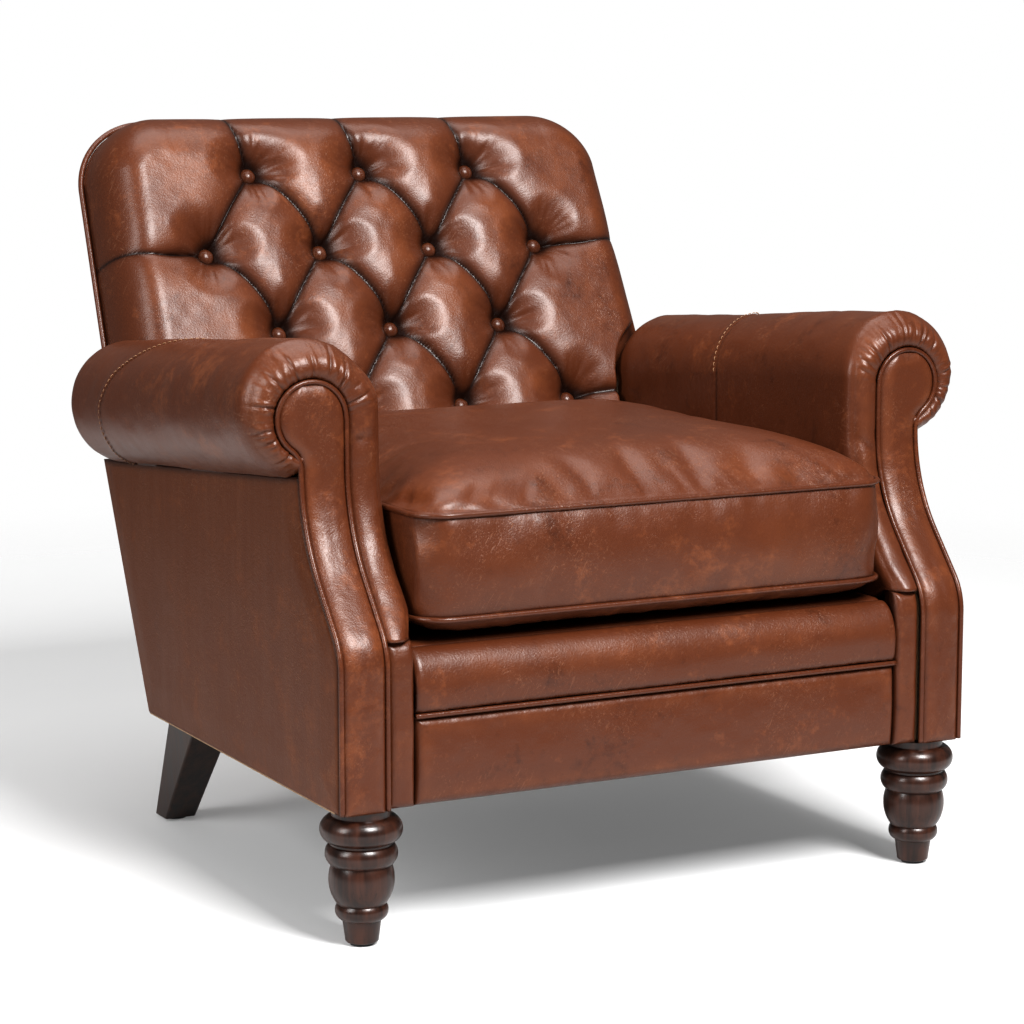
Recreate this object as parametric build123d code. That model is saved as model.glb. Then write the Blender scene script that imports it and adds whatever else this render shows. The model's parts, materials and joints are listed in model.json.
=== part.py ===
"""Button-back leather club armchair: beech frame, zigzag seat springs, rolled arms set back on S-curved fronts,
deep-buttoned raked back, piped loose seat cushion with a zip, turned front legs and raked back legs.

Millimetres. +Z is up, the chair faces -Y, +X is the sitter's left. The origin is on the floor, at the centre
of the chair's outline. Right-hand pieces are made for +X and mirrored to -X for the left of the picture plane.
"""
from build123d import *
import math
import os

# ---- driving dimensions ----
LEG_H = 140.0            # floor to the underside of the upholstered body
BODY_X = 370.0           # outer face of the side panels
FRONT_Y = -422.0         # front of the arm facings and seat front
BACK_Y0 = 105.0          # outside back at the height of LEG_H
RAKE = math.radians(26)  # outside and inside back lean
BACK_LEN = 721.0         # outside back, measured up the rake
BACK_HALF_LOW = 350.0    # half width of the back where it meets the arms
BACK_HALF_TOP = 332.0    # half width at the top
BACK_CORNER_R = 85.0
PAD_W = 92.0             # outside back to the crest of the buttoned pad
PAD_IN_SIDE, PAD_IN_TOP = 20.0, 40.0   # how far the pad draws in towards its crest
LEATHER = 2.0
SKIN_GAP = 0.5           # clearance between soft pieces with curved faces

# ---- arms ----
ARM_FRONT_Y = -330.0     # the scroll is set back from the seat front
ARM_IN_X = 285.0         # inner face of the arm
ROLL_R = 70.0
ROLL_X = ARM_IN_X + ROLL_R
ARM_REAR_Y = 205.0       # upright rear end of the roll, ahead of the raked back
ROLL_Z = 533.0           # roll centre at ARM_FRONT_Y
ARM_SLOPE = math.radians(5.4)
S_ANGLE = math.radians(40)
S_BEND_LOW_Z, S_BEND_HIGH_Z = 302.0, 411.6
S_R_LOW, S_R_HIGH = 60.0, 170.0
INNER_PAD = 29.0         # inner arm pad, leather included
SIDE_BOARD = 4.0
ARM_PAD_BOTTOM = 262.0
STRIP_TOP = 307.0        # seam where the inner arm cover meets the front strip

# ---- facings ----
FACE_IN_X, FACE_OUT_X = 317.0, 366.5
FACE_HEAD = (355.0, 525.0)
FACE_HEAD_R = 38.0
CORD_R = 3.5             # piping
FACE_DEPTH = 12.0
FACE_PROUD = 2.0

# ---- seat ----
RAIL_Z0, RAIL_Z1 = 150.0, 250.0
SEAM_Z = 231.0
BORDER_TOP = 290.0
BORDER_BACK_Y = -396.0
DECK_Z0, DECK_Z1 = 258.0, 299.5
DECK_REAR_Y = 128.0
N_SPRINGS = 6
SPRING_PITCH = 92.0
WIRE_R = 1.9

# ---- seat cushion ----
CUSHION_X = 277.0
CUSHION_FRONT_Y = -411.0
CUSHION_Z0, CUSHION_SEAM_LOW, CUSHION_SEAM_HIGH, CUSHION_Z1 = 300.0, 323.0, 427.0, 482.0
CUSHION_CORNER_R = 34.0
CUSHION_REAR_GAP = 14.0  # to the back pad, piping and zip included
ZIP_LEN, ZIP_H = 460.0, 16.0

# ---- back frame ----
STILE_X = (286.0, 314.0)
STILE_TOP = 640.0
STILE_FRONT_W = 45.0
STRAP_T = 2.0
LOWER_RAIL_V = (176.0, 226.0)
STRAP_HALF = 298.0
STRAPS = (273.0, 375.0, 477.0, 579.0, 664.0)   # up the rake, between the rows of buttons

# ---- buttons ----
BUTTON_ROWS = (630.0, 528.0, 426.0, 324.0)   # up the rake
BUTTON_PITCH = 146.0
BUTTON_R = 11.0
DIMPLE_FLOOR = 48.0
TWINE_BACK = 10.5        # the twine ends at its knot behind the webbing

# ---- legs ----
FRONT_LEG = (332.0, -391.0)
REAR_LEG_BOLT = (318.0, 36.0)
REAR_LEG_TOP, REAR_LEG_FOOT = (321.0, 63.0), (316.0, 163.0)
REAR_BLOCK = (284.0, 344.0, -14.0, 50.0, LEG_H, LEG_H + 44)
GLIDE_T = 3.0
BOLT_R = 4.0

BACK_PLANE = Plane(
    origin=(0, BACK_Y0, LEG_H), x_dir=(1, 0, 0), z_dir=(0, -math.cos(RAKE), math.sin(RAKE))
)
FAR = 1200.0


def box(x0, x1, y0, y1, z0, z1):
    """A box from its lowest and highest corners."""
    return Pos((x0 + x1) / 2, (y0 + y1) / 2, (z0 + z1) / 2) * Box(x1 - x0, y1 - y0, z1 - z0)


def back_box(x0, x1, v0, v1, w0, w1):
    """A box in the back's own axes: across, up the rake, forwards from the outside back."""
    return BACK_PLANE * box(x0, x1, v0, v1, w0, w1)


def rake_y(z, forward=0.0):
    """Y of the plane that lies forward of the outside back, at height z."""
    return BACK_Y0 + (z - LEG_H) * math.tan(RAKE) - forward / math.cos(RAKE)


def roll_z(y):
    """Height of the roll's centre line, which falls towards the back."""
    return ROLL_Z - (y - ARM_FRONT_Y) * math.tan(ARM_SLOPE)


def both(shape):
    """The piece for +X and its mirror image."""
    return {"right": shape, "left": mirror(shape, about=Plane.YZ)}


# ---- arm outlines ----
def side_face(front=0.0, back=0.0, bottom=LEG_H, top=700.0):
    """The arm seen from the side: S-curved front, raked rear, each moved inwards by an offset."""
    step = front * math.tan(S_ANGLE / 2)
    y_low, y_high = FRONT_Y + front, ARM_FRONT_Y + front
    curve = FilletPolyline(
        (y_low, bottom),
        (y_low, S_BEND_LOW_Z - step),
        (y_high, S_BEND_HIGH_Z - step),
        (y_high, top),
        radius=[S_R_LOW - front, S_R_HIGH + front],
    )
    rest = Polyline((y_high, top), (rake_y(top, back), top), (rake_y(bottom, back), bottom), (y_low, bottom))
    return Plane.YZ * make_face(curve.edges() + rest.edges())


def side_slab(x0, x1, **offsets):
    """The side face as a slab from x0 to x1."""
    return Pos(x0, 0, 0) * extrude(side_face(**offsets), amount=x1 - x0, dir=(1, 0, 0))


def roll_section(grow=0.0):
    """The arm seen from the front, at ARM_FRONT_Y: the roll and the upright below it."""
    upright = Pos((ARM_IN_X + BODY_X) / 2, ROLL_Z / 2 - 100) * Rectangle(
        BODY_X - ARM_IN_X + 2 * grow, ROLL_Z + 200
    )
    return Pos(ROLL_X, ROLL_Z) * Circle(ROLL_R + grow) + upright


def along_arm(section):
    """A front-view section run along the falling line of the arm, past both its ends."""
    lead = 150.0
    start = Pos(0, ARM_FRONT_Y - lead, lead * math.tan(ARM_SLOPE)) * (Plane.XZ * section)
    return extrude(start, amount=FAR, dir=(0, math.cos(ARM_SLOPE), -math.sin(ARM_SLOPE)))


def facing_outline(grow=0.0):
    """Keyhole outline of the arm facing."""
    head = Pos(*FACE_HEAD) * Circle(FACE_HEAD_R + grow)
    x0, x1 = FACE_IN_X - grow, FACE_OUT_X + grow
    stem = Pos((x0 + x1) / 2, (LEG_H + FACE_HEAD[1]) / 2) * Rectangle(x1 - x0, FACE_HEAD[1] - LEG_H)
    return head + stem


def on_front(outline, proud, depth):
    """A front-view outline as a sheet that follows the S-curved front, from proud of it to depth."""
    prism = Pos(0, FRONT_Y - 60, 0) * extrude(Plane.XZ * outline, amount=300, dir=(0, 1, 0))
    band = side_slab(0, 500, front=-proud) - side_slab(-1, 501, front=depth, bottom=LEG_H - 5, top=705)
    return prism & band


# ---- wood frame ----
def arm_board(grow=0.0):
    """Sloping board inside the roll, from the post to the back stile."""
    section = Pos(344, ROLL_Z - 6) * Rectangle(88 + 2 * grow, 24 + 2 * grow)
    reach = side_slab(0, 500, front=16 - grow, back=STILE_FRONT_W)
    return along_arm(section) & reach


def arm_post():
    """S-curved front post under the arm board, bored from below for the leg bolt's insert."""
    band = side_slab(FACE_IN_X - 1, FACE_IN_X + 45, front=14) - side_slab(300, 380, front=54, bottom=LEG_H - 5)
    above = along_arm(Pos(ROLL_X, ROLL_Z - 18 + 100) * Rectangle(200, 200))
    bore = Pos(*FRONT_LEG, LEG_H + 21) * Cylinder(7.1, 50)
    return band - above - bore


def back_stile(grow=0.0):
    """Raked stile from the seat frame to the top of the back."""
    x0, x1 = STILE_X
    return back_box(x0 - grow, x1 + grow, 8, STILE_TOP + grow, 10 - grow, STILE_FRONT_W + grow)


def back_top_rail():
    """Crest rail on the stile tops, with rounded ends."""
    length, height = 2 * STILE_X[1], 46.0
    face = Pos(0, STILE_TOP + height / 2) * Rectangle(length, height)
    face = fillet(face.vertices().group_by(Axis.Y)[-1], height - 1)
    return BACK_PLANE * extrude(Pos(0, 0, 10) * face, amount=32, dir=(0, 0, 1))


def seat_rails():
    """Front, rear and side rails of the seat frame."""
    rail_x = FACE_IN_X - 1
    front = box(-rail_x, rail_x, -394, -370, RAIL_Z0, RAIL_Z1)
    rear = box(-STILE_X[0], STILE_X[0], 78, 104, RAIL_Z0, RAIL_Z1)
    side_start = FRONT_Y + 54
    side_x = STILE_X[1]
    side = box(side_x, side_x + 26, side_start, rake_y(RAIL_Z0, 12), RAIL_Z0, RAIL_Z1)
    return front, rear, side - box(*REAR_BLOCK)


def rear_leg_block():
    """Block let into the side rail, which takes the rear leg's bolt."""
    return box(*REAR_BLOCK) - Pos(*REAR_LEG_BOLT, LEG_H + 20) * Cylinder(7.1, 60)


# ---- suspension ----
def zigzag_spring(x):
    """One zigzag spring between the front and rear rails, with rounded bends."""
    loops, half_w = 22, 24.0
    y0, y1 = -382.0, 91.0
    step = (y1 - y0) / loops
    points = []
    for i in range(loops + 1):
        side = half_w if i % 2 else -half_w
        y = y0 + step * i
        points += [(x - side, y), (x + side, y)]
    path = Pos(0, 0, RAIL_Z1 + WIRE_R + 0.2) * FilletPolyline(*points, radius=step * 0.45)
    start = path @ 0
    section = Plane(origin=start, z_dir=path % 0) * Circle(WIRE_R)
    return sweep(section, path=path)


def spring_lanes():
    """X of each spring."""
    return [(i - (N_SPRINGS - 1) / 2) * SPRING_PITCH for i in range(N_SPRINGS)]


def spring_clips():
    """A bent steel clip over each end of each spring."""
    clips = []
    for x in spring_lanes():
        for y in (-382.0, 91.0):
            base = RAIL_Z1
            clip = box(x - 8, x + 8, y - 7, y + 7, base, base + 6.2)
            clips.append(clip - box(x - 9, x + 9, y - WIRE_R - 0.3, y + 8, base - 1, base + 4.4))
    return Compound(clips)


def seat_deck():
    """Hessian over the springs and the deck pad on it."""
    hessian = box(-ARM_IN_X + 1, ARM_IN_X - 1, -393, 110, 256.4, 257.8)
    pad = box(-ARM_IN_X + 0.5, ARM_IN_X - 0.5, BORDER_BACK_Y + 1, DECK_REAR_Y, DECK_Z0, DECK_Z1)
    pad = fillet(pad.edges().filter_by(Axis.X).group_by(Axis.Z)[-1], 8)
    return hessian, pad


def dust_cover():
    """Black cloth under the seat, with a hole at each leg bolt."""
    cloth = box(-BODY_X + 4, BODY_X - 4, FRONT_Y + 16, BACK_Y0 - 6, LEG_H - 1, LEG_H)
    for x, y in (FRONT_LEG, REAR_LEG_BOLT):
        for side in (-1, 1):
            cloth -= Pos(side * x, y, LEG_H) * Cylinder(12, 10)
    return cloth


# ---- back ----
def back_outline(inset=0.0, low=170.0, top_inset=None):
    """The back seen square on, from the seat up, with rounded top corners."""
    top = BACK_LEN - (inset if top_inset is None else top_inset)
    half_low, half_top = BACK_HALF_LOW - inset, BACK_HALF_TOP - inset
    face = make_face(
        Polyline((-half_low, low), (half_low, low), (half_top, top), (-half_top, top), close=True).edges()
    )
    return fillet(face.vertices().group_by(Axis.Y)[-1], BACK_CORNER_R - inset)


def arm_envelope(grow):
    """Space that the two arms take up, grown all round."""
    arm = along_arm(roll_section(grow)) & box(0, 500, -900, ARM_REAR_Y + grow, 0, 900)
    return [arm, mirror(arm, about=Plane.YZ)]


def button_places():
    """(x, v) of each button: rows of three and four in turn."""
    places = []
    for row, v in enumerate(BUTTON_ROWS):
        count = 3 if row % 2 == 0 else 4
        places += [((i - (count - 1) / 2) * BUTTON_PITCH, v) for i in range(count)]
    return places


def dimples(grow=0.0):
    """A cone down to each button."""
    depth = PAD_W - DIMPLE_FLOOR + grow + 1
    cone = Pos(0, 0, DIMPLE_FLOOR - grow + depth / 2) * Cone(12 + grow, 30 + grow, depth)
    return [BACK_PLANE * (Pos(x, v, 0) * cone) for x, v in button_places()]


def twine_holes(radius):
    """A straight channel behind each button."""
    return [
        BACK_PLANE * (Pos(x, v, 34) * Cylinder(radius, 44)) for x, v in button_places()
    ]


def back_pad(inset, grow):
    """The pad's outer form, drawn in towards its crest and cut clear of both arms."""
    low = 170.0 + inset
    w1 = PAD_W - inset
    rear = Pos(0, 0, LEATHER) * back_outline(inset, low)
    front = Pos(0, 0, w1) * back_outline(inset + PAD_IN_SIDE, low, inset + PAD_IN_TOP)
    pad = loft([rear, front], ruled=True)
    crest = pad.edges().group_by(Axis.Z)[-1]
    pad = BACK_PLANE * fillet(crest, 22)
    for arm in arm_envelope(grow):
        pad -= arm
    return pad


def back_pieces():
    """Buttoned leather cover and the foam in it."""
    outer = back_pad(0, SKIN_GAP)
    inner = back_pad(LEATHER, SKIN_GAP + LEATHER)
    for pit, pit_wide in zip(dimples(), dimples(LEATHER)):
        outer -= pit
        inner -= pit_wide
    cover = outer - inner
    foam = inner - back_box(-STILE_X[1], STILE_X[1], 0, STILE_TOP + 46.5, -5, STILE_FRONT_W + STRAP_T + 0.5)
    for hole in [*twine_holes(1.6), *frame_passages()]:
        cover -= hole
        foam -= hole
    return cover, foam


def back_buttons():
    """Domed leather-covered buttons on the floors of the dimples."""
    dome = Pos(0, 0, DIMPLE_FLOOR + 0.1) * revolve(
        Plane.XZ * make_face(
            (ThreePointArc((0, 8), (7.4, 5.8), (BUTTON_R, 1.5))
             + Polyline((BUTTON_R, 1.5), (BUTTON_R - 1, 0), (0, 0), (0, 8))).edges()
        ),
        axis=Axis.Z,
    )
    return Compound([BACK_PLANE * (Pos(x, v, 0) * dome) for x, v in button_places()])


def button_twines():
    """Waxed twine from each button to a knot behind the webbing."""
    length = DIMPLE_FLOOR - 0.5 - TWINE_BACK
    twine = Pos(0, 0, TWINE_BACK + length / 2) * Cylinder(1.1, length) + Pos(0, 0, 12) * Cylinder(4, 4)
    return Compound([BACK_PLANE * (Pos(x, v, 0) * twine) for x, v in button_places()])


def back_webbing():
    """Webbing straps across the stiles, between the rows of buttons."""
    w0 = STILE_FRONT_W + 0.2
    straps = [back_box(-STRAP_HALF, STRAP_HALF, v - 25, v + 25, w0, w0 + STRAP_T) for v in STRAPS]
    return Compound(straps)


def frame_passages():
    """Cuts in the covers and fillings where the frame and webbing pass through them."""
    w1 = STILE_FRONT_W + STRAP_T + 1
    rail_half = STILE_X[0] + 1
    passages = [back_box(-rail_half, rail_half, LOWER_RAIL_V[0] - 1, LOWER_RAIL_V[1] + 1, 11, w1)]
    passages += [back_box(-STRAP_HALF - 1, STRAP_HALF + 1, v - 26, v + 26, STILE_FRONT_W - 1, w1) for v in STRAPS]
    for shape in (back_stile(1.0), arm_board(1.0)):
        passages += list(both(shape).values())
    return passages


def outside_back():
    """Leather panel over the whole rear, wider below the arms."""
    upper = back_outline(0, 290)
    lower = Pos(0, 150) * Rectangle(2 * (BODY_X - 2), 300)
    return BACK_PLANE * extrude(upper + lower, amount=LEATHER - 0.2, dir=(0, 0, 1))


def outside_back_piping():
    """Cord round the top and sides of the outside back, above the arms."""
    ring = back_outline(-2 * CORD_R, 320) - back_outline(0, 310)
    ring -= Pos(0, 315) * Rectangle(2000, 12)
    return BACK_PLANE * (Pos(0, 0, 1) * extrude(ring, amount=2 * CORD_R - 1, dir=(0, 0, 1)))


# ---- arms ----
def arm_pieces():
    """Leather cover, foam, facing, facing cord, side panel and its board, for one arm."""
    whole = along_arm(roll_section()) & side_slab(0, 500, back=LEATHER + 0.2, bottom=ARM_PAD_BOTTOM)
    whole &= box(0, 500, -900, ARM_REAR_Y, 0, 900)
    inside = along_arm(roll_section(-LEATHER)) & side_slab(
        0, 500, front=LEATHER, back=2 * LEATHER + 0.2, bottom=ARM_PAD_BOTTOM - 5
    )
    inside &= box(0, 500, -900, ARM_REAR_Y - LEATHER, ARM_PAD_BOTTOM, 900)
    pocket = on_front(facing_outline(CORD_R), 10, FACE_DEPTH)
    cavity = along_arm(
        Pos((ARM_IN_X + INNER_PAD + FAR) / 2, ROLL_Z - 18 - 300) * Rectangle(FAR - ARM_IN_X - INNER_PAD, 600)
    )
    strip_zone = box(ARM_IN_X - 5, ARM_IN_X + INNER_PAD, FRONT_Y - 20, BORDER_BACK_Y, 100, STRIP_TOP)
    outer_wall = box(BODY_X - LEATHER - SIDE_BOARD, BODY_X + 1, -600, 600, 100, ROLL_Z - 80)
    wall_top = along_arm(Pos(BODY_X, ROLL_Z - ROLL_R - 98) * Rectangle(14, 200))
    cover = whole - inside - pocket - strip_zone - outer_wall - wall_top
    foam = inside - pocket - cavity - strip_zone
    for passage in frame_passages():
        cover -= passage
        foam -= passage
    foam = max(foam.solids(), key=lambda solid: solid.volume)
    facing = on_front(facing_outline(-CORD_R), FACE_PROUD, FACE_DEPTH - 0.3)
    cord = on_front(facing_outline(CORD_R - 0.3), 3, 6) - on_front(facing_outline(-CORD_R + 0.3), 8, 12)
    reach = along_arm(Pos(BODY_X, ROLL_Z - ROLL_R - 3 - 200) * Rectangle(40, 400))
    edge = FACE_DEPTH + 0.3
    panel = side_slab(BODY_X - LEATHER, BODY_X, front=edge, back=LEATHER + 0.2) & reach
    board = side_slab(BODY_X - LEATHER - SIDE_BOARD, BODY_X - LEATHER, front=edge + 2, back=2 * LEATHER) & reach
    return cover, foam, facing, cord, panel, board


def front_strip():
    """Narrow padded strip between the seat front and the facing's cord."""
    strip = box(ARM_IN_X, FACE_IN_X - CORD_R - 0.3, FRONT_Y + 1, BORDER_BACK_Y, LEG_H, STRIP_TOP - 0.3)
    return strip & side_slab(ARM_IN_X - 1, FACE_IN_X, front=1)


# ---- seat front ----
def front_border():
    """Upper and lower padded bands of the seat front, and the cord between them."""
    half = ARM_IN_X - 0.5
    lower = box(-half, half, FRONT_Y + 2, BORDER_BACK_Y, LEG_H, SEAM_Z - CORD_R)
    lower = fillet(lower.edges().filter_by(Axis.X).group_by(Axis.Y)[0].group_by(Axis.Z)[-1], 6)
    upper = box(-half, half, FRONT_Y + 2, BORDER_BACK_Y, SEAM_Z + CORD_R, BORDER_TOP)
    front_edges = upper.edges().filter_by(Axis.X).group_by(Axis.Y)[0]
    upper = fillet(front_edges.group_by(Axis.Z)[-1], 20)
    cord = Pos(0, FRONT_Y + 5, SEAM_Z) * Rot(0, 90, 0) * Cylinder(CORD_R - 0.1, 2 * half)
    return upper, lower, cord


# ---- seat cushion ----
def cushion_form(inset=0.0):
    """The cushion's outer form, moved inwards: raked rear, rounded corners, crowned top and underside."""
    x1 = CUSHION_X - inset
    y0 = CUSHION_FRONT_Y + inset
    z0, z1 = CUSHION_Z0 + inset, CUSHION_Z1 - inset
    gap = PAD_W + CUSHION_REAR_GAP + inset
    outline = Polyline((y0, z0), (rake_y(z0, gap), z0), (rake_y(z1, gap), z1), (y0, z1), close=True)
    form = Pos(-x1, 0, 0) * extrude(Plane.YZ * make_face(outline.edges()), amount=2 * x1, dir=(1, 0, 0))
    corners = form.edges().filter_by(lambda edge: abs((edge % 0.5).Z) > 0.5)
    form = fillet(corners, CUSHION_CORNER_R - inset)
    form = fillet(form.edges().group_by(Axis.Z)[-1], 30 - inset)
    return fillet(form.edges().group_by(Axis.Z)[0], 20 - inset)


def cushion_cord(z):
    """Piping round the cushion at height z, just outside the leather."""
    rear = rake_y(z, PAD_W + CUSHION_REAR_GAP)
    size_y = rear - CUSHION_FRONT_Y

    def outline(grow):
        face = Rectangle(2 * (CUSHION_X + grow), size_y + 2 * grow)
        return fillet(face.vertices(), CUSHION_CORNER_R + grow)

    ring = outline(2 * CORD_R - 1) - outline(0.6)
    ring = Pos(0, (rear + CUSHION_FRONT_Y) / 2, z - CORD_R) * extrude(ring, amount=2 * CORD_R, dir=(0, 0, 1))
    return ring - cushion_form(-0.4)


def cushion_pieces():
    """Leather cover with a zip slot, foam core, zip tape and zip slider."""
    rear = PAD_W + CUSHION_REAR_GAP
    mid_v = ((CUSHION_SEAM_LOW + CUSHION_SEAM_HIGH) / 2 - LEG_H - rear * math.sin(RAKE)) / math.cos(RAKE)
    half = ZIP_LEN / 2
    slot = back_box(-half, half, mid_v - ZIP_H / 2, mid_v + ZIP_H / 2, rear - 5, rear + LEATHER + 0.2)
    inner = cushion_form(LEATHER)
    cover = cushion_form() - inner - slot
    core = cushion_form(LEATHER + 1.0)
    fit = 0.2
    tape = back_box(-half + fit, half - fit, mid_v - ZIP_H / 2 + fit, mid_v + ZIP_H / 2 - fit, rear + 0.3, rear + 1.9)
    tape += back_box(-half + 6, half - 6, mid_v - 2.2, mid_v + 2.2, rear - 1.1, rear + 0.3)
    start = -half + 14
    slider = back_box(start - 6, start + 6, mid_v - 4.5, mid_v + 4.5, rear - 3.8, rear - 0.2)
    slider -= back_box(start - 7, start + 7, mid_v - 2.6, mid_v + 2.6, rear - 1.6, rear + 1)
    pull = back_box(start - 2.5, start + 2.5, mid_v - 26, mid_v - 2, rear - 5.2, rear - 3.8)
    slider += pull - back_box(start - 1.2, start + 1.2, mid_v - 23, mid_v - 16, rear - 9, rear)
    return cover, core, tape, slider


# ---- legs ----
def front_leg():
    """Turned leg: two rings, a bulb, a third ring and a tapered foot, bored for its bolt."""
    profile = (
        Polyline((0, GLIDE_T), (15.5, GLIDE_T))
        + RadiusArc((15.5, GLIDE_T), (16.8, GLIDE_T + 2), -2)
        + Line((16.8, GLIDE_T + 2), (19.6, 25.5))
        + ThreePointArc((19.6, 25.5), (26.6, 34), (24.5, 42))
        + ThreePointArc((24.5, 42), (33, 66), (30.4, 82))
        + ThreePointArc((30.4, 82), (36.5, 93), (33.5, 102))
        + Polyline((33.5, 102), (31.5, 103), (31.5, 105))
        + ThreePointArc((31.5, 105), (41.5, 118), (34, 131))
        + Polyline((34, 131), (30, 132), (30, LEG_H - 1), (11, LEG_H - 1), (11, LEG_H), (0, LEG_H))
        + Line((0, LEG_H), (0, GLIDE_T))
    )
    leg = revolve(Plane.XZ * make_face(profile.edges()), axis=Axis.Z)
    leg -= Pos(0, 0, LEG_H - 18) * Cylinder(BOLT_R + 0.1, 60)
    return Pos(*FRONT_LEG, 0) * leg


def rear_leg():
    """Square leg raked backwards and tapering to the foot, bored for its bolt."""
    top = Pos(*REAR_LEG_TOP, LEG_H - 1) * Rectangle(46, 80)
    foot = Pos(*REAR_LEG_FOOT, GLIDE_T) * Rectangle(37, 35)
    leg = loft([foot, top])
    leg = fillet(leg.edges().filter_by(lambda e: abs((e % 0.5).Z) > 0.5), 3)
    leg += Pos(*REAR_LEG_BOLT, LEG_H - 0.5) * Cylinder(11, 1)
    return leg - Pos(*REAR_LEG_BOLT, LEG_H - 8) * Cylinder(BOLT_R + 0.1, 40)


def leg_hardware():
    """Glides, bolts and threaded inserts, one of each per leg."""
    glides, bolts, inserts = [], [], []
    for (x, y), (foot_x, foot_y), depth in (
        (FRONT_LEG, FRONT_LEG, 46.0),
        (REAR_LEG_BOLT, REAR_LEG_FOOT, 26.0),
    ):
        for side in (-1, 1):
            glides.append(Pos(side * foot_x, foot_y, GLIDE_T / 2) * Cylinder(12, GLIDE_T))
            low, high = LEG_H - depth, LEG_H + 40
            bolts.append(Pos(side * x, y, (low + high) / 2) * Cylinder(BOLT_R, high - low))
            tube = Cylinder(7.0, 25) - Cylinder(BOLT_R + 0.1, 30)
            inserts.append(Pos(side * x, y, LEG_H + 12.5) * tube)
    return Compound(glides), Compound(bolts), Compound(inserts)


def chair():
    """Every node of the chair by name."""
    nodes = {}

    def pair(name, shape):
        for side, half in both(shape).items():
            nodes[f"{side}_{name}"] = half

    front, rear, side = seat_rails()
    nodes["front_seat_rail"], nodes["rear_seat_rail"] = front, rear
    pair("seat_rail", side)
    pair("arm_post", arm_post())
    pair("arm_board", arm_board())
    pair("back_stile", back_stile())
    nodes["back_top_rail"] = back_top_rail()
    nodes["back_lower_rail"] = back_box(-STILE_X[0], STILE_X[0], *LOWER_RAIL_V, 12, 40)
    nodes["rear_leg_blocks"] = Compound(list(both(rear_leg_block()).values()))
    nodes["seat_springs"] = Compound([zigzag_spring(x) for x in spring_lanes()])
    nodes["spring_clips"] = spring_clips()
    nodes["seat_hessian"], nodes["seat_deck_pad"] = seat_deck()
    nodes["dust_cover"] = dust_cover()
    nodes["back_cover"], nodes["back_foam"] = back_pieces()
    nodes["back_buttons"] = back_buttons()
    nodes["button_twines"] = button_twines()
    nodes["back_webbing"] = back_webbing()
    nodes["outside_back_panel"] = outside_back()
    nodes["outside_back_piping"] = outside_back_piping()
    arm_names = ("arm_cover", "arm_foam", "arm_facing", "facing_piping", "side_panel", "side_board")
    for name, shape in zip(arm_names, arm_pieces()):
        pair(name, shape)
    pair("front_strip", front_strip())
    borders = ("front_border_upper", "front_border_lower", "front_border_piping")
    for name, shape in zip(borders, front_border()):
        nodes[name] = shape
    pair("front_leg", front_leg())
    pair("rear_leg", rear_leg())
    nodes["leg_glides"], nodes["leg_bolts"], nodes["leg_inserts"] = leg_hardware()
    cushion = ("cushion_cover", "cushion_core", "cushion_zip_tape", "cushion_zip_slider")
    for name, shape in zip(cushion, cushion_pieces()):
        nodes[name] = shape
    nodes["cushion_piping_top"] = cushion_cord(CUSHION_SEAM_HIGH)
    nodes["cushion_piping_bottom"] = cushion_cord(CUSHION_SEAM_LOW)
    return nodes


os.makedirs("parts", exist_ok=True)
for node, shape in chair().items():
    export_step(shape, f"parts/{node}.step")
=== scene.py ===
import json
import math

import bmesh
import bpy
import numpy as np
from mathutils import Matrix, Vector


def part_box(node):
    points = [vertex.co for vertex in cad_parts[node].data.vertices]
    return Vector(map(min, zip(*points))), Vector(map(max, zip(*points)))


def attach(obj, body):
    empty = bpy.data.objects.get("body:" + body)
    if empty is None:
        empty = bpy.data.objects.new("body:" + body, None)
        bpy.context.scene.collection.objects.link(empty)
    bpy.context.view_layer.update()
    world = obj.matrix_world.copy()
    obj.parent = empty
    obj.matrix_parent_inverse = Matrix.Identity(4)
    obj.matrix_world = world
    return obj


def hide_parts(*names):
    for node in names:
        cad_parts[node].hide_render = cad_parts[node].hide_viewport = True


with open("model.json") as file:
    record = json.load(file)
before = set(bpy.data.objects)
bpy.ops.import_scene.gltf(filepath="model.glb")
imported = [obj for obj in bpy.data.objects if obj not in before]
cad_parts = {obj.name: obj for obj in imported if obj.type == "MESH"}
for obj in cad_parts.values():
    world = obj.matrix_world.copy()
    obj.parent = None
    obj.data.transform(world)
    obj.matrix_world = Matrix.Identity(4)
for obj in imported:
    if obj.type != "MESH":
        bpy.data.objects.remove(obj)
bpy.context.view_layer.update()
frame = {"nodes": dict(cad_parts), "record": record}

# Shapes are worked out in millimetres in the row frame, and become metres in piece().
MM = 0.001


def edge(node, corner, axis):
    """One coordinate of a CAD node's box, in millimetres: corner 0 is the low one, 1 the high one."""
    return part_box(node)[corner][axis] / MM


# ---- the chair's main dimensions, read from the frame where a node's box gives them ----
LEG_H = edge("outside_back_panel", 0, 2)
BODY_X = edge("right_side_panel", 1, 0)
FACE_PROUD = 2.0
FRONT_Y = edge("right_arm_facing", 0, 1) + FACE_PROUD
ARM_IN_X = edge("right_arm_cover", 0, 0)
ARM_OUT_X = edge("right_arm_cover", 1, 0)
ARM_REAR_Y = edge("right_arm_cover", 1, 1)
ROLL_R = (ARM_OUT_X - ARM_IN_X) / 2
ROLL_X = (ARM_OUT_X + ARM_IN_X) / 2
ROLL_SETTLE = 3.0        # padding settles a little below the CAD's roll
ROLL_Z = edge("right_arm_cover", 1, 2) - ROLL_R - ROLL_SETTLE
ARM_FRONT_Y = -330.0
ARM_SLOPE = math.radians(5.0)
S_ANGLE = math.radians(40)
S_BEND_LOW_Z, S_BEND_HIGH_Z = 302.0, 411.6
S_R_LOW, S_R_HIGH = 60.0, 170.0
CORD_R = 3.5             # half the seam allowance that the CAD's piping takes up
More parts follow.
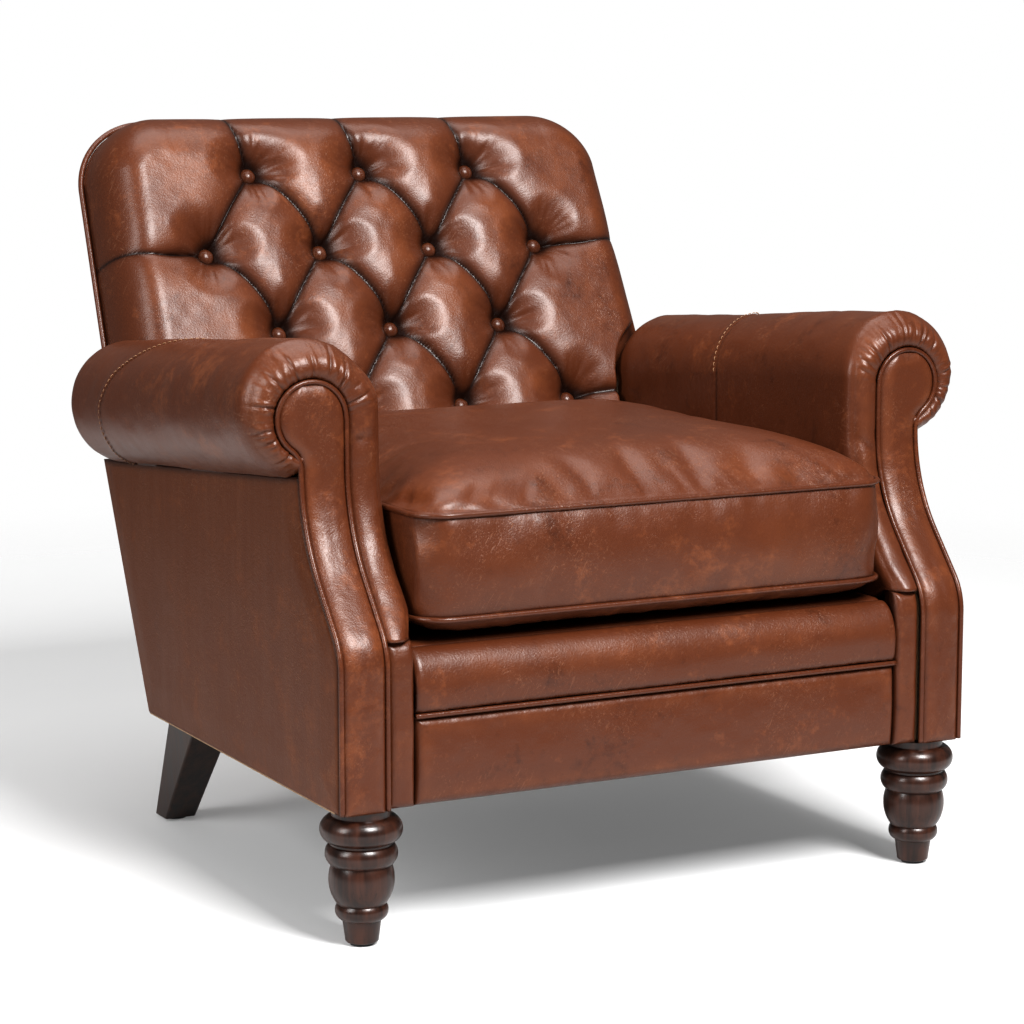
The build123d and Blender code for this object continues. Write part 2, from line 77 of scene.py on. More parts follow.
BOARD_THICK, BOARD_SLOPE = 24.0, math.radians(5.4)   # the board inside the roll
CORD = 2.7               # the visible cord
FACE_IN_X, FACE_OUT_X = 317.0, 366.5
FACE_HEAD_X, FACE_HEAD_Z, FACE_HEAD_R = 354.5, 520.0, 37.0
NECK_R = 26.0
INNER_SWELL = {1: 4.0, -1: 8.5}   # how far each arm's inner padding stands in at the front
STRIP_TOP = edge("right_front_strip", 1, 2)
STRIP_OUT_X = edge("right_front_strip", 1, 0) + 1.4
BORDER_X = edge("front_border_upper", 1, 0)
BORDER_FRONT_Y = edge("front_border_upper", 0, 1)
BORDER_BACK_Y = edge("front_border_upper", 1, 1)
BORDER_TOP = edge("front_border_upper", 1, 2)
SEAM_Z = (edge("front_border_piping", 0, 2) + edge("front_border_piping", 1, 2)) / 2

RAKE = math.radians(26)
BACK_Y0 = 105.0
BACK_LEN = 721.0
BACK_LOW = 170.0
BACK_HALF_LOW, BACK_HALF_TOP = 350.0, 332.0
BACK_CORNER_R = 85.0
PAD_W = 92.0
ARM_DOME = 12.0          # the roll's rear end and the gap behind it
PAD_EDGE_W = 5.0
BUTTON_ROWS = (630.0, 528.0, 426.0, 324.0)
BUTTON_PITCH = 146.0
BUTTON_W = 50.0

SKIN_EASE = 3            # rounds of smoothing that stand for the wadding under the cushion's skin
POLE_EASE = 190.0        # wrinkles fade out towards the middle of the cushion's panels
CROWN_EASE = 18.0        # height over which the cushion's crown eases towards its top
CUSHION_EASE = 4.0       # the filled cushion gives way between the arms
CUSHION_X = edge("cushion_cover", 1, 0) - CUSHION_EASE
CUSHION_SHIFT = 2.5      # a loose cushion never lies quite central
CUSHION_FRONT_Y = edge("cushion_cover", 0, 1)
CUSHION_Z0, CUSHION_Z1 = edge("cushion_cover", 0, 2), edge("cushion_cover", 1, 2)
CUSHION_SEAM_LOW = edge("cushion_piping_bottom", 0, 2) + CORD_R
CUSHION_SEAM_HIGH = edge("cushion_piping_top", 0, 2) + CORD_R
CUSHION_CORNER_R = 34.0
CUSHION_REAR_W = PAD_W + 14.0

CLOTH_FRAMES, CLOTH_LIMIT = 20, 9.0      # how long the cushion's skin is blown up, and how far it may move
CLOTH_PRESSURE, CLOTH_STIFF, CLOTH_BEND = 4.0, 12.0, 1.5
CLOTH_GROWTH = -0.025                    # the skin is cut slightly full, so it gathers at the seams

# ---- studio, in metres and watts ----
LIGHTS = (
    ("key", (0.2, -2.8, 3.1), (1.2, 1.5), 280.0),
    ("side", (-3.1, -0.9, 1.9), (1.0, 1.8), 76.0),
    ("top", (0.2, 0.4, 3.4), (2.4, 2.0), 60.0),
)
LIGHTS_AIM = (0, 0, 0.5)
WORLD_LIGHT, VIEW_GAMMA = 0.20, 0.80
# near the chair the floor is partly see-through onto the white backdrop, which paints light into its shadows
FLOOR_HALF, FLOOR_ALPHA, FLOOR_FADE = 3.0, 0.80, (1.1, 2.6)
CAMERA_PLACE, CAMERA_LENS = (-1.511, -2.977, 0.8687), 103.7
CAMERA_TURN = math.radians(27.52), math.radians(8.70)


# ---- small tools ----
def value_noise(u, v, seed):
    """Smooth noise from -1 to 1 over the plane, one random value per unit cell."""
    lattice = np.random.default_rng(seed).uniform(-1, 1, (64, 64))
    iu, iv = np.floor(u).astype(int), np.floor(v).astype(int)
    fu, fv = u - iu, v - iv
    fu, fv = fu * fu * (3 - 2 * fu), fv * fv * (3 - 2 * fv)
    a, b = lattice[iu % 64, iv % 64], lattice[(iu + 1) % 64, iv % 64]
    c, d = lattice[iu % 64, (iv + 1) % 64], lattice[(iu + 1) % 64, (iv + 1) % 64]
    return (a * (1 - fu) + b * fu) * (1 - fv) + (c * (1 - fu) + d * fu) * fv


def ramp01(x):
    """Smooth step from 0 to 1 as x goes from 0 to 1."""
    x = np.clip(x, 0, 1)
    return x * x * (3 - 2 * x)


def quarter(x):
    """Height of a quarter circle that rises from 0 at x = 0 to 1 at x = 1."""
    return np.sqrt(np.maximum(1 - (1 - np.clip(x, 0, 1)) ** 2, 0))


def grid_faces(rows, cols, wrap=False):
    """Quads of a grid of points; wrap joins the last column to the first."""
    r = np.arange(rows - 1)[:, None] * cols
    c = np.arange(cols if wrap else cols - 1)[None, :]
    n = (c + 1) % cols
    return np.stack([r + c, r + n, r + cols + n, r + cols + c], axis=-1).reshape(-1, 4)


def double_sided(front, back):
    """Points and faces of a closed slab from a front grid and a back grid of the same size."""
    rows, cols = front.shape[:2]
    count = rows * cols
    ring = np.r_[
        np.arange(cols), np.arange(1, rows) * cols + cols - 1,
        (rows - 1) * cols + np.arange(cols - 2, -1, -1), np.arange(rows - 2, 0, -1) * cols,
    ]
    nxt = np.roll(ring, -1)
    rim = np.stack([ring, nxt, nxt + count, ring + count], axis=1)
    faces = np.vstack([grid_faces(rows, cols), grid_faces(rows, cols)[:, ::-1] + count, rim])
    return np.concatenate([front.reshape(-1, 3), back.reshape(-1, 3)]), faces


def grid_normals(grid):
    """Unit normals of a rows x cols x 3 grid."""
    across = np.gradient(grid, axis=1)
    along = np.gradient(grid, axis=0)
    normal = np.cross(across, along)
    return normal / np.maximum(np.linalg.norm(normal, axis=2, keepdims=True), 1e-9)


def piece(
    name, points, faces, material, body="chair", stands_for=(), shade=None, side=1
):
    """A closed mesh piece on a body. shade below 0 paints shade into creases; above 0 it paints crests
    lighter, for rubbed wear and painted highlight.
    """
    points = np.array(points, float).reshape(-1, 3) * (side * MM, MM, MM)
    mesh = bpy.data.meshes.new(name)
    mesh.from_pydata(points.tolist(), [], [[int(i) for i in face] for face in faces])
    if shade is not None:
        layer = mesh.attributes.new("shade", "FLOAT", "POINT")
        layer.data.foreach_set("value", np.asarray(shade, float).ravel())
    bm = bmesh.new()
    bm.from_mesh(mesh)
    bmesh.ops.remove_doubles(bm, verts=bm.verts, dist=1e-6)
    bmesh.ops.holes_fill(bm, edges=[e for e in bm.edges if e.is_boundary], sides=0)
    bmesh.ops.triangulate(bm, faces=[f for f in bm.faces if len(f.verts) > 4])
    bmesh.ops.recalc_face_normals(bm, faces=bm.faces)
    bm.to_mesh(mesh)
    bm.free()
    mesh.polygons.foreach_set("use_smooth", [True] * len(mesh.polygons))
    obj = bpy.data.objects.new(name, mesh)
    bpy.context.scene.collection.objects.link(obj)
    mesh.materials.append(material)
    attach(obj, body)
    if stands_for:
        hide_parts(*stands_for)
    return obj


def tube(points, radius, sides=12, closed=False):
    """Points and faces of a round cord along a line."""
    points = np.asarray(points, float)
    if closed:
        tangent = np.roll(points, -1, axis=0) - np.roll(points, 1, axis=0)
    else:
        tangent = np.gradient(points, axis=0)
    tangent /= np.linalg.norm(tangent, axis=1, keepdims=True)
    normal = np.cross(tangent[0], (0.3, 0.9, 0.1))
    rings = []
    angle = np.linspace(0, 2 * math.pi, sides, endpoint=False)
    for p, t in zip(points, tangent):
        normal = normal - t * (normal @ t)
        normal /= np.linalg.norm(normal)
        other = np.cross(t, normal)
        rings.append(p + radius * (np.cos(angle)[:, None] * normal + np.sin(angle)[:, None] * other))
    faces = grid_faces(len(points), sides, wrap=True)
    if closed:
        last, first = (len(points) - 1) * sides, 0
        joined = [
            (last + i, last + (i + 1) % sides, first + (i + 1) % sides, first + i) for i in range(sides)
        ]
        # the end ring may be turned against the first, so it is matched to the nearest point
        turn = int(np.argmin(np.linalg.norm(rings[0] - rings[-1][0], axis=1)))
        joined = [(a, b, (c + turn) % sides, (d + turn) % sides) for a, b, c, d in joined]
        faces = np.vstack([faces, joined])
    return np.concatenate(rings), faces


def resample(points, step, closed=False):
    """The same line with points about one step apart."""
    points = np.asarray(points, float)
    if closed:
        points = np.vstack([points, points[:1]])
    run = np.r_[0, np.cumsum(np.linalg.norm(np.diff(points, axis=0), axis=1))]
    count = max(2, int(round(run[-1] / step)) + (0 if closed else 1))
    at = np.linspace(0, run[-1], count, endpoint=not closed)
    return np.stack([np.interp(at, run, points[:, k]) for k in range(3)], axis=1)


def stitches(path, out, length=5.0, gap=3.0, radius=0.55):
    """Points and faces of a row of thread stitches along a path, raised by out (a vector per point)."""
    run = np.r_[0, np.cumsum(np.linalg.norm(np.diff(path, axis=0), axis=1))]
    points, faces = [], []
    for start in np.arange(gap, run[-1] - length, length + gap):
        at = start + length * np.array([0, 0.15, 0.5, 0.85, 1.0])
        line = np.stack([np.interp(at, run, path[:, k]) for k in range(3)], axis=1)
        up = np.stack([np.interp(at, run, out[:, k]) for k in range(3)], axis=1)
        line = line + up * np.array([-0.5, 0.25, 0.5, 0.25, -0.5])[:, None]
        p, f = tube(line, radius, 6)
        faces.append(f + sum(len(q) for q in points))
        points.append(p)
    return np.concatenate(points), np.concatenate(faces)


# ---- materials ----
class Graph:
    """A material's nodes, with short calls to add and link them."""

    def __init__(self, name):
        self.material = bpy.data.materials.new(name)
        self.material.use_nodes = True
        self.tree = self.material.node_tree
        self.shader = self.tree.nodes["Principled BSDF"]
        self.coords = self.tree.nodes.new("ShaderNodeTexCoord").outputs["Object"]

    def set(self, socket, value):
        if isinstance(value, bpy.types.NodeSocket):
            self.tree.links.new(value, socket)
        else:
            socket.default_value = value

    def add(self, kind, inputs, output=0, **settings):
        node = self.tree.nodes.new("ShaderNode" + kind)
        for key, value in settings.items():
            setattr(node, key, value)
        for key, value in inputs.items():
            self.set(node.inputs[key], value)
        return node.outputs[output]

    def noise(self, scale, detail=4.0, rough=0.55, distortion=0.0, stretch=(1, 1, 1), shift=(0, 0, 0)):
        vector = self.add("Mapping", {"Vector": self.coords, "Scale": stretch, "Location": shift})
        return self.add(
            "TexNoise",
            {"Vector": vector, "Scale": scale, "Detail": detail, "Roughness": rough,
             "Distortion": distortion},
        )

    def math(self, operation, a, b=0.0, c=0.0, clamp=False):
        return self.add("Math", {0: a, 1: b, 2: c}, operation=operation, use_clamp=clamp)

    def fit(self, value, low, high, to_low=0.0, to_high=1.0):
        inputs = {"Value": value, "From Min": low, "From Max": high, "To Min": to_low, "To Max": to_high}
        return self.add("MapRange", inputs)

    def mix(self, factor, a, b, blend="MIX"):
        return self.add("Mix", {0: factor, 6: a, 7: b}, 2, data_type="RGBA", blend_type=blend)

    def ramp(self, factor, stops):
        node = self.tree.nodes.new("ShaderNodeValToRGB")
        elements = node.color_ramp.elements
        while len(elements) < len(stops):
            elements.new(0.5)
        for element, (at, colour) in zip(elements, stops):
            element.position = at
            element.color = (*colour, 1.0)
        self.set(node.inputs[0], factor)
        return node.outputs[0]

    def bump(self, height, distance, strength=1.0, under=None):
        inputs = {"Height": height, "Distance": distance, "Strength": strength}
        if under is not None:
            inputs["Normal"] = under
        return self.add("Bump", inputs)

    def hairlines(self, turn, scale, low, high):
        """Fine short lines lying one way: noise drawn out along a turned axis."""
        turned = self.add("Mapping", {"Vector": self.coords, "Rotation": turn})
        drawn = self.add("Mapping", {"Vector": turned, "Scale": (1.0, 0.06, 1.0)})
        field = self.add("TexNoise", {"Vector": drawn, "Scale": scale, "Detail": 3.0, "Distortion": 0.6})
        return self.fit(field, low, high)

    def finish(self, colour, rough, normal, **fixed):
        self.set(self.shader.inputs["Base Color"], colour)
        self.set(self.shader.inputs["Roughness"], rough)
        self.set(self.shader.inputs["Normal"], normal)
        for key, value in fixed.items():
            self.shader.inputs[key.replace("_", " ")].default_value = value
        return self.material


def leather(name, deep, middle, warm, rough=0.37, streaks=False, coat=0.10, shine=0.40):
    """Antiqued leather: mottled browns, light hairlines, pebble grain, painted shade in creases, and crests
    painted lighter for rubbed wear and highlight.
    """
    g = Graph(name)
    cloud = g.noise(4.5, 6.0, 0.60, 0.4)
    mottle = g.noise(26.0, 9.0, 0.70, 0.3, shift=(3, 1, 2))
    speckle = g.noise(140.0, 4.0, 0.65, shift=(1, 8, 2))
    blend = g.math("MULTIPLY_ADD", mottle, 0.50, g.math("MULTIPLY", cloud, 0.34))
    blend = g.math("MULTIPLY_ADD", speckle, 0.20, blend)
    colour = g.ramp(blend, [(0.30, deep), (0.47, middle), (0.56, middle), (0.72, warm)])
    shade = g.add("Attribute", {}, 2, attribute_name="shade")
    # the shade attribute paints shade into creases below 0, and paints crests lighter above 0 for rubbed
    # wear and painted highlight
    crease = g.fit(shade, 0.0, -1.0)
    crest_wear_and_sheen = g.fit(shade, 0.0, 1.0)
    patch = g.fit(g.noise(11.0, 6.0, 0.72, shift=(7, 7, 7)), 0.42, 0.64)
    # rubbed wear and painted highlight: crests turn warm brown in patches
    rub_and_sheen = g.math("MULTIPLY", g.math("MULTIPLY", crest_wear_and_sheen, patch), 0.60)
    colour = g.mix(rub_and_sheen, colour, (*warm, 1.0))
    hairs = g.hairlines((0.3, 0.2, 0.6), 430.0, 0.62, 0.72)
    for turn in ((1.1, 0.4, -0.5), (-0.6, 1.2, 1.9), (0.2, -0.9, 2.7)):
        hairs = g.math("MAXIMUM", hairs, g.hairlines(turn, 390.0, 0.62, 0.72))
    broken = g.fit(g.noise(13.0, 4.0, 0.7, shift=(5, 0, 4)), 0.44, 0.62)
    hairs = g.math("MULTIPLY", hairs, broken)
    pale = (min(1.0, warm[0] * 1.6), min(1.0, warm[1] * 2.4), min(1.0, warm[2] * 4.0), 1.0)
    colour = g.mix(g.math("MULTIPLY", hairs, 0.26), colour, pale)
    if streaks:
        runs = g.noise(48.0, 6.0, 0.7, stretch=(1.0, 1.0, 0.06))
        dull = g.math("MULTIPLY", g.fit(runs, 0.42, 0.72), 0.32)
        colour = g.mix(dull, colour, (0.15, 0.060, 0.030, 1.0))
    # painted shade: creases mixed towards a deep brown
    colour = g.mix(crease, colour, (*[c * 0.36 for c in deep], 1.0))
    roughness = g.math("MULTIPLY_ADD", mottle, 0.16, rough - 0.08)
    vector = g.add("Mapping", {"Vector": g.coords})
    pebble = g.add("TexVoronoi", {"Vector": vector, "Scale": 560.0, "Randomness": 1.0}, feature="SMOOTH_F1")
    wrinkle = g.noise(150.0, 5.0, 0.65, 1.2)
    normal = g.bump(pebble, 0.00028, 0.5)
    normal = g.bump(wrinkle, 0.0007, 0.40, normal)
    normal = g.bump(g.noise(24.0, 2.0, 0.5, 0.4), 0.0012, 0.30, normal)
    normal = g.bump(hairs, -0.0003, 0.4, normal)
    return g.finish(
        colour, roughness, normal, Coat_Weight=coat, Coat_Roughness=0.28, Specular_IOR_Level=shine
    )


def wood(name, dark, light, rough, scale=1.0):
    """Straight-grained wood, the grain running up and down."""
    g = Graph(name)
    grain = g.noise(90.0 * scale, 6.0, 0.6, 0.4, stretch=(1, 1, 0.07))
    pores = g.noise(420.0 * scale, 3.0, 0.7, stretch=(1, 1, 0.04), shift=(1, 2, 3))
    colour = g.ramp(grain, [(0.36, dark), (0.62, light)])
    colour = g.mix(g.fit(pores, 0.56, 0.70, 0.0, 0.6), colour, (*[c * 0.5 for c in dark], 1.0))
    normal = g.bump(pores, 0.0003, 0.4)
    normal = g.bump(g.noise(18.0, 3.0), 0.0008, 0.3, normal)
    roughness = g.math("MULTIPLY_ADD", grain, 0.2, rough - 0.1)
    return g.finish(colour, roughness, normal, Coat_Weight=0.15, Coat_Roughness=0.22)


def woven(name, dark, light, pitch):
    """Plain woven cloth."""
    g = Graph(name)
    warp = g.add("TexWave", {"Vector": g.coords, "Scale": pitch, "Distortion": 0.6}, 1, bands_direction="X")
    weft = g.add("TexWave", {"Vector": g.coords, "Scale": pitch, "Distortion": 0.6}, 1, bands_direction="Y")
    weave = g.math("MULTIPLY", warp, weft)
    colour = g.mix(g.math("MULTIPLY", weave, g.noise(40.0)), (*dark, 1.0), (*light, 1.0))
    return g.finish(colour, 0.9, g.bump(weave, 0.0005, 0.6), Sheen_Weight=0.2)


def plain(name, dark, light, rough, metal=0.0, scale=60.0, stretch=(1, 1, 1), depth=0.0004):
    """Foam, metal or plastic with slight mottling and fine relief."""
    g = Graph(name)
    mottle = g.noise(scale, 6.0, 0.65, stretch=stretch)
    colour = g.mix(mottle, (*dark, 1.0), (*light, 1.0))
    roughness = g.math("MULTIPLY_ADD", mottle, 0.2, rough - 0.1)
    normal = g.bump(g.noise(scale * 6, 3.0, stretch=stretch), depth, 0.4)
    return g.finish(colour, roughness, normal, Metallic=metal)


DEEP, MIDDLE, WARM = (0.034, 0.0078, 0.0028), (0.096, 0.0262, 0.0088), (0.200, 0.063, 0.0205)
LEATHER = leather("antique_leather", DEEP, MIDDLE, WARM)
PANEL_LEATHER = leather(
    "panel_leather", DEEP, (0.104, 0.0300, 0.0090), (0.180, 0.056, 0.0170), 0.46,
    streaks=True, coat=0.0, shine=0.24,
)
CORD_LEATHER = leather(
    "cord_leather", (0.030, 0.0068, 0.0026), (0.090, 0.0245, 0.0085), (0.19, 0.060, 0.020), 0.30
)
THREAD = plain("thread", (0.20, 0.10, 0.05), (0.42, 0.25, 0.14), 0.6, scale=900.0)
FINISHES = {
    "leather": LEATHER,
    "piping": CORD_LEATHER,
    "beech": wood("beech", (0.45, 0.28, 0.15), (0.62, 0.42, 0.25), 0.6),
    "board": wood("hardboard", (0.26, 0.16, 0.09), (0.36, 0.24, 0.14), 0.8, 3.0),
    "leg_wood": wood("walnut_stain", (0.015, 0.0048, 0.0025), (0.055, 0.018, 0.009), 0.31),
    "dark_leg_wood": wood("dark_stain", (0.012, 0.0045, 0.0025), (0.042, 0.017, 0.009), 0.42),
    "foam": plain("foam", (0.62, 0.55, 0.36), (0.78, 0.71, 0.50), 0.95, depth=0.001),
    "hessian": woven("hessian", (0.20, 0.13, 0.06), (0.50, 0.37, 0.20), 260.0),
    "black_cloth": woven("black_cloth", (0.006, 0.006, 0.006), (0.035, 0.035, 0.035), 500.0),
    "steel": plain("steel", (0.28, 0.28, 0.29), (0.45, 0.45, 0.46), 0.4, 1.0, 150.0, (1, 0.1, 1)),
    "brass": plain("brass", (0.40, 0.27, 0.10), (0.60, 0.43, 0.20), 0.35, 1.0, 200.0),
    "glide_plastic": plain("glide_plastic", (0.02, 0.02, 0.02), (0.05, 0.05, 0.05), 0.6),
}
LINING = woven("deck_lining", (0.022, 0.012, 0.008), (0.075, 0.042, 0.026), 420.0)


# ---- the buttoned back ----
def back_point(x, v, w):
    """The back's own axes (across, up the rake, forwards) to the row frame."""
    y = BACK_Y0 + v * math.sin(RAKE) - w * math.cos(RAKE)
    z = LEG_H + v * math.cos(RAKE) + w * math.sin(RAKE)
    return np.stack(np.broadcast_arrays(x, y, z), axis=-1)


def back_half(v, top):
    """Half width of the back at v, with its rounded top corners."""
    half = BACK_HALF_LOW + (BACK_HALF_TOP - BACK_HALF_LOW) * (v - BACK_LOW) / (BACK_LEN - BACK_LOW)
    over = np.clip(v - (top - BACK_CORNER_R), 0, BACK_CORNER_R)
    return half - BACK_CORNER_R + np.sqrt(np.maximum(BACK_CORNER_R**2 - over**2, 0))


def button_places():
    """(x, v) of each button, row by row."""
    rows = []
    for row, v in enumerate(BUTTON_ROWS):
        count = 3 if row % 2 == 0 else 4
        rows.append([((i - (count - 1) / 2) * BUTTON_PITCH, v) for i in range(count)])
    return rows


def fold_lines():
    """Each fold as (start, end, sideways bow, kind): between buttons, or from a button to an edge."""
    rows = button_places()
    folds = []
    for upper, lower in zip(rows, rows[1:]):
        for a in upper:
            for b in lower:
                if abs(a[0] - b[0]) < BUTTON_PITCH * 0.6:
                    bow = 7.0 if a[0] < b[0] else -4.0
                    folds.append((a, b, bow, "inner"))
    for x, v in rows[0]:
        folds.append(((x, v), (x - 16.0, BACK_LEN + 10), 7.0, "edge"))
    for x, v in (rows[1][0], rows[1][-1]):
        side = math.copysign(1, x)
        folds.append(((x, v), (side * 345.0, v + 6), side * -9.0, "edge"))
    for x, v in (rows[3][0], rows[3][-1]):
        folds.append(((x, v), (math.copysign(345.0, x), v - 10), 5.0, "edge"))
    for x, v in rows[3]:
        folds.append(((x, v), (x, BACK_LOW - 20), 3.0, "edge"))
    return folds


def fold_fields(x, v):
    """How deep the folds and buttons pull the pad in at each point, and how near the closest crease is."""
    power, total = 5.0, np.zeros_like(x)
    nearest = np.full_like(x, 1e3)
    reach = 52.0
    for (ax, av), (bx, bv), bow, kind in fold_lines():
        length = math.hypot(bx - ax, bv - av)
        ux, uv = (bx - ax) / length, (bv - av) / length
        t = ((x - ax) * ux + (v - av) * uv) / length
        tc = np.clip(t, 0, 1)
        bend = bow * np.sin(tc * math.pi)
        off = (x - ax) * -uv + (v - av) * ux - bend
        beyond = (t - tc) * length
        distance = np.hypot(off, beyond)
        if kind == "inner":
            depth = 17.0 + 23.0 * np.abs(2 * tc - 1) ** 2.4
        else:
            depth = 6.0 + 34.0 * (1 - tc) ** 2.4
        rise = 1 - np.clip(distance / reach, 0, 1)
        pull = depth * (1 - np.sqrt(np.maximum(1 - rise**2, 0)))
        total += pull**power
        nearest = np.minimum(nearest, distance)
    for x0, v0 in sum(button_places(), []):
        distance = np.hypot(x - x0, v - v0)
        rise = 1 - np.clip(np.maximum(distance - 7.0, 0) / 60.0, 0, 1)
        pull = 42.0 * (0.55 * rise**1.7 + 0.45 * (1 - np.sqrt(np.maximum(1 - rise**2, 0))))
        total += pull**power
    return np.minimum(total ** (1 / power), PAD_W - BUTTON_W + 1.0), nearest


def drawn_to_folds(x, v, inset):
    """Crowds the grid's points towards the nearest fold, so that each crease is a clean line."""
    reach = 6.5
    best = np.full_like(x, 1e3)
    shift_x, shift_v = np.zeros_like(x), np.zeros_like(x)
    for (ax, av), (bx, bv), bow, _ in fold_lines():
        length = math.hypot(bx - ax, bv - av)
        ux, uv = (bx - ax) / length, (bv - av) / length
        t = ((x - ax) * ux + (v - av) * uv) / length
        off = (x - ax) * -uv + (v - av) * ux - bow * np.sin(np.clip(t, 0, 1) * math.pi)
        near = np.abs(off)
        crowded = reach * (np.clip(near, 0, reach) / reach) ** 1.7
        along = ramp01(np.minimum(t, 1 - t) * length / 14.0)
        move = np.where((near < reach) & (t > 0) & (t < 1), (crowded - near) * np.sign(off), 0.0) * along
        closer = near < best
        best = np.where(closer, near, best)
        shift_x = np.where(closer, -uv * move, shift_x)
        shift_v = np.where(closer, ux * move, shift_v)
    hold = ramp01(inset / 12.0)
    return x + shift_x * hold, v + shift_v * hold


def button_wrinkles(x, v):
    """Fine ridges that fan out from each button."""
    height = np.zeros_like(x)
    for i, (x0, v0) in enumerate(sum(button_places(), [])):
        distance = np.hypot(x - x0, v - v0)
        angle = np.arctan2(v - v0, x - x0) + math.pi
        wave = value_noise(angle * 4.6, distance * 0.02 + 0 * x, 40 + i)
        wave = 1 - 2 * np.abs(wave)
        strength = np.exp(-(((distance - 26.0) / 15.0) ** 2))
        height += 1.5 * strength * wave
    return height


def arm_clearance(x, z, y):
    """Distance outside the arm's section, below 0 within it."""
    zc = ROLL_Z - (y - ARM_FRONT_Y) * math.tan(ARM_SLOPE)
    circle = np.hypot(np.abs(x) - ROLL_X, z - zc) - ROLL_R
    wall = np.where(z < zc, ARM_IN_X - np.abs(x), 1e3)
    return np.minimum(circle, wall)


def inset_field(x, v, top):
    """Distance inside the back's rounded outline, for the side and for the top edge."""
    slope = (BACK_HALF_LOW - BACK_HALF_TOP) / (BACK_LEN - BACK_LOW)
    half = BACK_HALF_LOW - slope * (v - BACK_LOW)
    from_side, from_top = half - np.abs(x), top - v
    dx, dv = BACK_CORNER_R - from_side, BACK_CORNER_R - from_top
    corner = BACK_CORNER_R - np.hypot(np.maximum(dx, 0), np.maximum(dv, 0))
    inside = np.where((dx > 0) & (dv > 0), corner, np.minimum(from_side, from_top))
    turned = np.arctan2(np.maximum(dv, 0), np.maximum(dx, 1e-6)) / (math.pi / 2)
    lean = np.where((dx > 0) & (dv > 0), turned, 0.0)
    lean = np.where((dx <= 0) & (dv > 0), 1.0, lean)
    lean = np.where((dx <= 0) & (dv <= 0), ramp01((from_side - from_top) / 120 + 0.5), lean)
    return inside, lean


def eased(count, strength):
    """Numbers from 0 to 1, closer together near both ends."""
    t = np.linspace(0, 1, count)
    return t * (1 - strength) + strength * (0.5 - 0.5 * np.cos(t * math.pi))


def back_grid(top):
    """Grid of (x, v) over the rounded outline, blended from its four sides and dense near them."""
    low = BACK_LOW + 3
    corner = math.pi / 4
    turn = np.linspace(0, corner, 40)
    side_x = np.r_[np.linspace(back_half(low, top), back_half(top - BACK_CORNER_R, top), 400),
                   back_half(top - BACK_CORNER_R, top) - BACK_CORNER_R * (1 - np.cos(turn[1:]))]
    side_v = np.r_[np.linspace(low, top - BACK_CORNER_R, 400), top - BACK_CORNER_R * (1 - np.sin(turn[1:]))]
    side = resample(np.stack([side_x, side_v, 0 * side_v], axis=1), 1.0)
    turn = np.linspace(corner, math.pi / 2, 40)
    flat = back_half(top - BACK_CORNER_R, top) - BACK_CORNER_R
    crown_x = np.r_[flat + BACK_CORNER_R * np.cos(turn), np.linspace(flat, 0, 200)[1:]]
    crown_v = np.r_[top - BACK_CORNER_R * (1 - np.sin(turn)), np.full(199, top)]
    crown = resample(np.stack([crown_x, crown_v, 0 * crown_v], axis=1), 1.0)
    half_top = np.vstack([crown, crown[::-1][1:] * (-1, 1, 1)])[::-1]
    across = eased(365, 0.72)
    up = np.linspace(0, 1, 245)
    up = np.sin(up * math.pi / 2) * 0.55 + up * 0.45

    def along(line, t):
        at = np.linspace(0, 1, len(line))
        return np.stack([np.interp(t, at, line[:, k]) for k in range(2)], axis=-1)

    left, right = along(side * (-1, 1, 1), up), along(side, up)
    upper = along(half_top, across)
    lower = np.stack([(2 * across - 1) * back_half(low, top), np.full(len(across), low)], axis=-1)
    s, t = across[None, :, None], up[:, None, None]
    blend = (1 - s) * left[:, None] + s * right[:, None] + (1 - t) * lower[None] + t * upper[None]
    corners = (1 - s) * (1 - t) * lower[0] + s * (1 - t) * lower[-1]
    corners = corners + (1 - s) * t * upper[0] + s * t * upper[-1]
    grid = blend - corners
    return grid[..., 0], grid[..., 1]


def build_back():
    """Deep-buttoned pad: pillows between folds, rolled over to the outside back at the sides and top."""
    top = BACK_LEN - 3.0
    side_roll, top_roll = 50.0, 78.0
    x, v = back_grid(top)
    inset, lean = inset_field(x, v, top)
    roll = side_roll + (top_roll - side_roll) * lean
    rise = 1 - np.clip(inset / roll, 0, 1)
    base = np.maximum(1 - rise**2.3, 0) ** 0.48
    x, v = drawn_to_folds(x, v, inset)
    pull, nearest = fold_fields(x, v)
    soft = 0.5 * value_noise(x / 60 + 20, v / 60 + 20, 3) + 0.2 * value_noise(x / 14 + 20, v / 14 + 20, 4)
    w = PAD_EDGE_W + (PAD_W - PAD_EDGE_W) * base
    w = w - (pull - 1.5 - button_wrinkles(x, v) - soft) * np.minimum(base * 1.15, 1)
    point = back_point(x, v, w)
    clear = arm_clearance(point[..., 0], point[..., 2], point[..., 1])
    behind_arm = (BACK_Y0 + v * math.sin(RAKE) - ARM_REAR_Y - ARM_DOME) / math.cos(RAKE)
    limit = behind_arm + 90.0 * ramp01((clear - 1.0) / 16.0)
    tucked = np.minimum(w, np.maximum(limit, PAD_EDGE_W))
    point = back_point(x, v, tucked)
    # painted shade along the folds, round the buttons and where the pad tucks behind the arms; painted
    # highlight and rubbed wear on the pillows' crests
    shade = 0.85 * ramp01((w - PAD_W + 10) / 12) - 1.1 * np.exp(-nearest / 1.1) * ramp01(pull / 5)
    shade = shade - 0.50 * np.exp(-((nearest / 9.0) ** 2)) * ramp01(pull / 8)
    shade = shade - 0.75 * ramp01((pull - 19) / 16) - 0.8 * ramp01((w - tucked) / 12)
    rows, cols = x.shape
    piece(
        "buttoned_back", point, grid_faces(rows, cols), LEATHER,
        stands_for=("back_cover", "back_foam"), shade=np.clip(shade, -1, 1),
    )


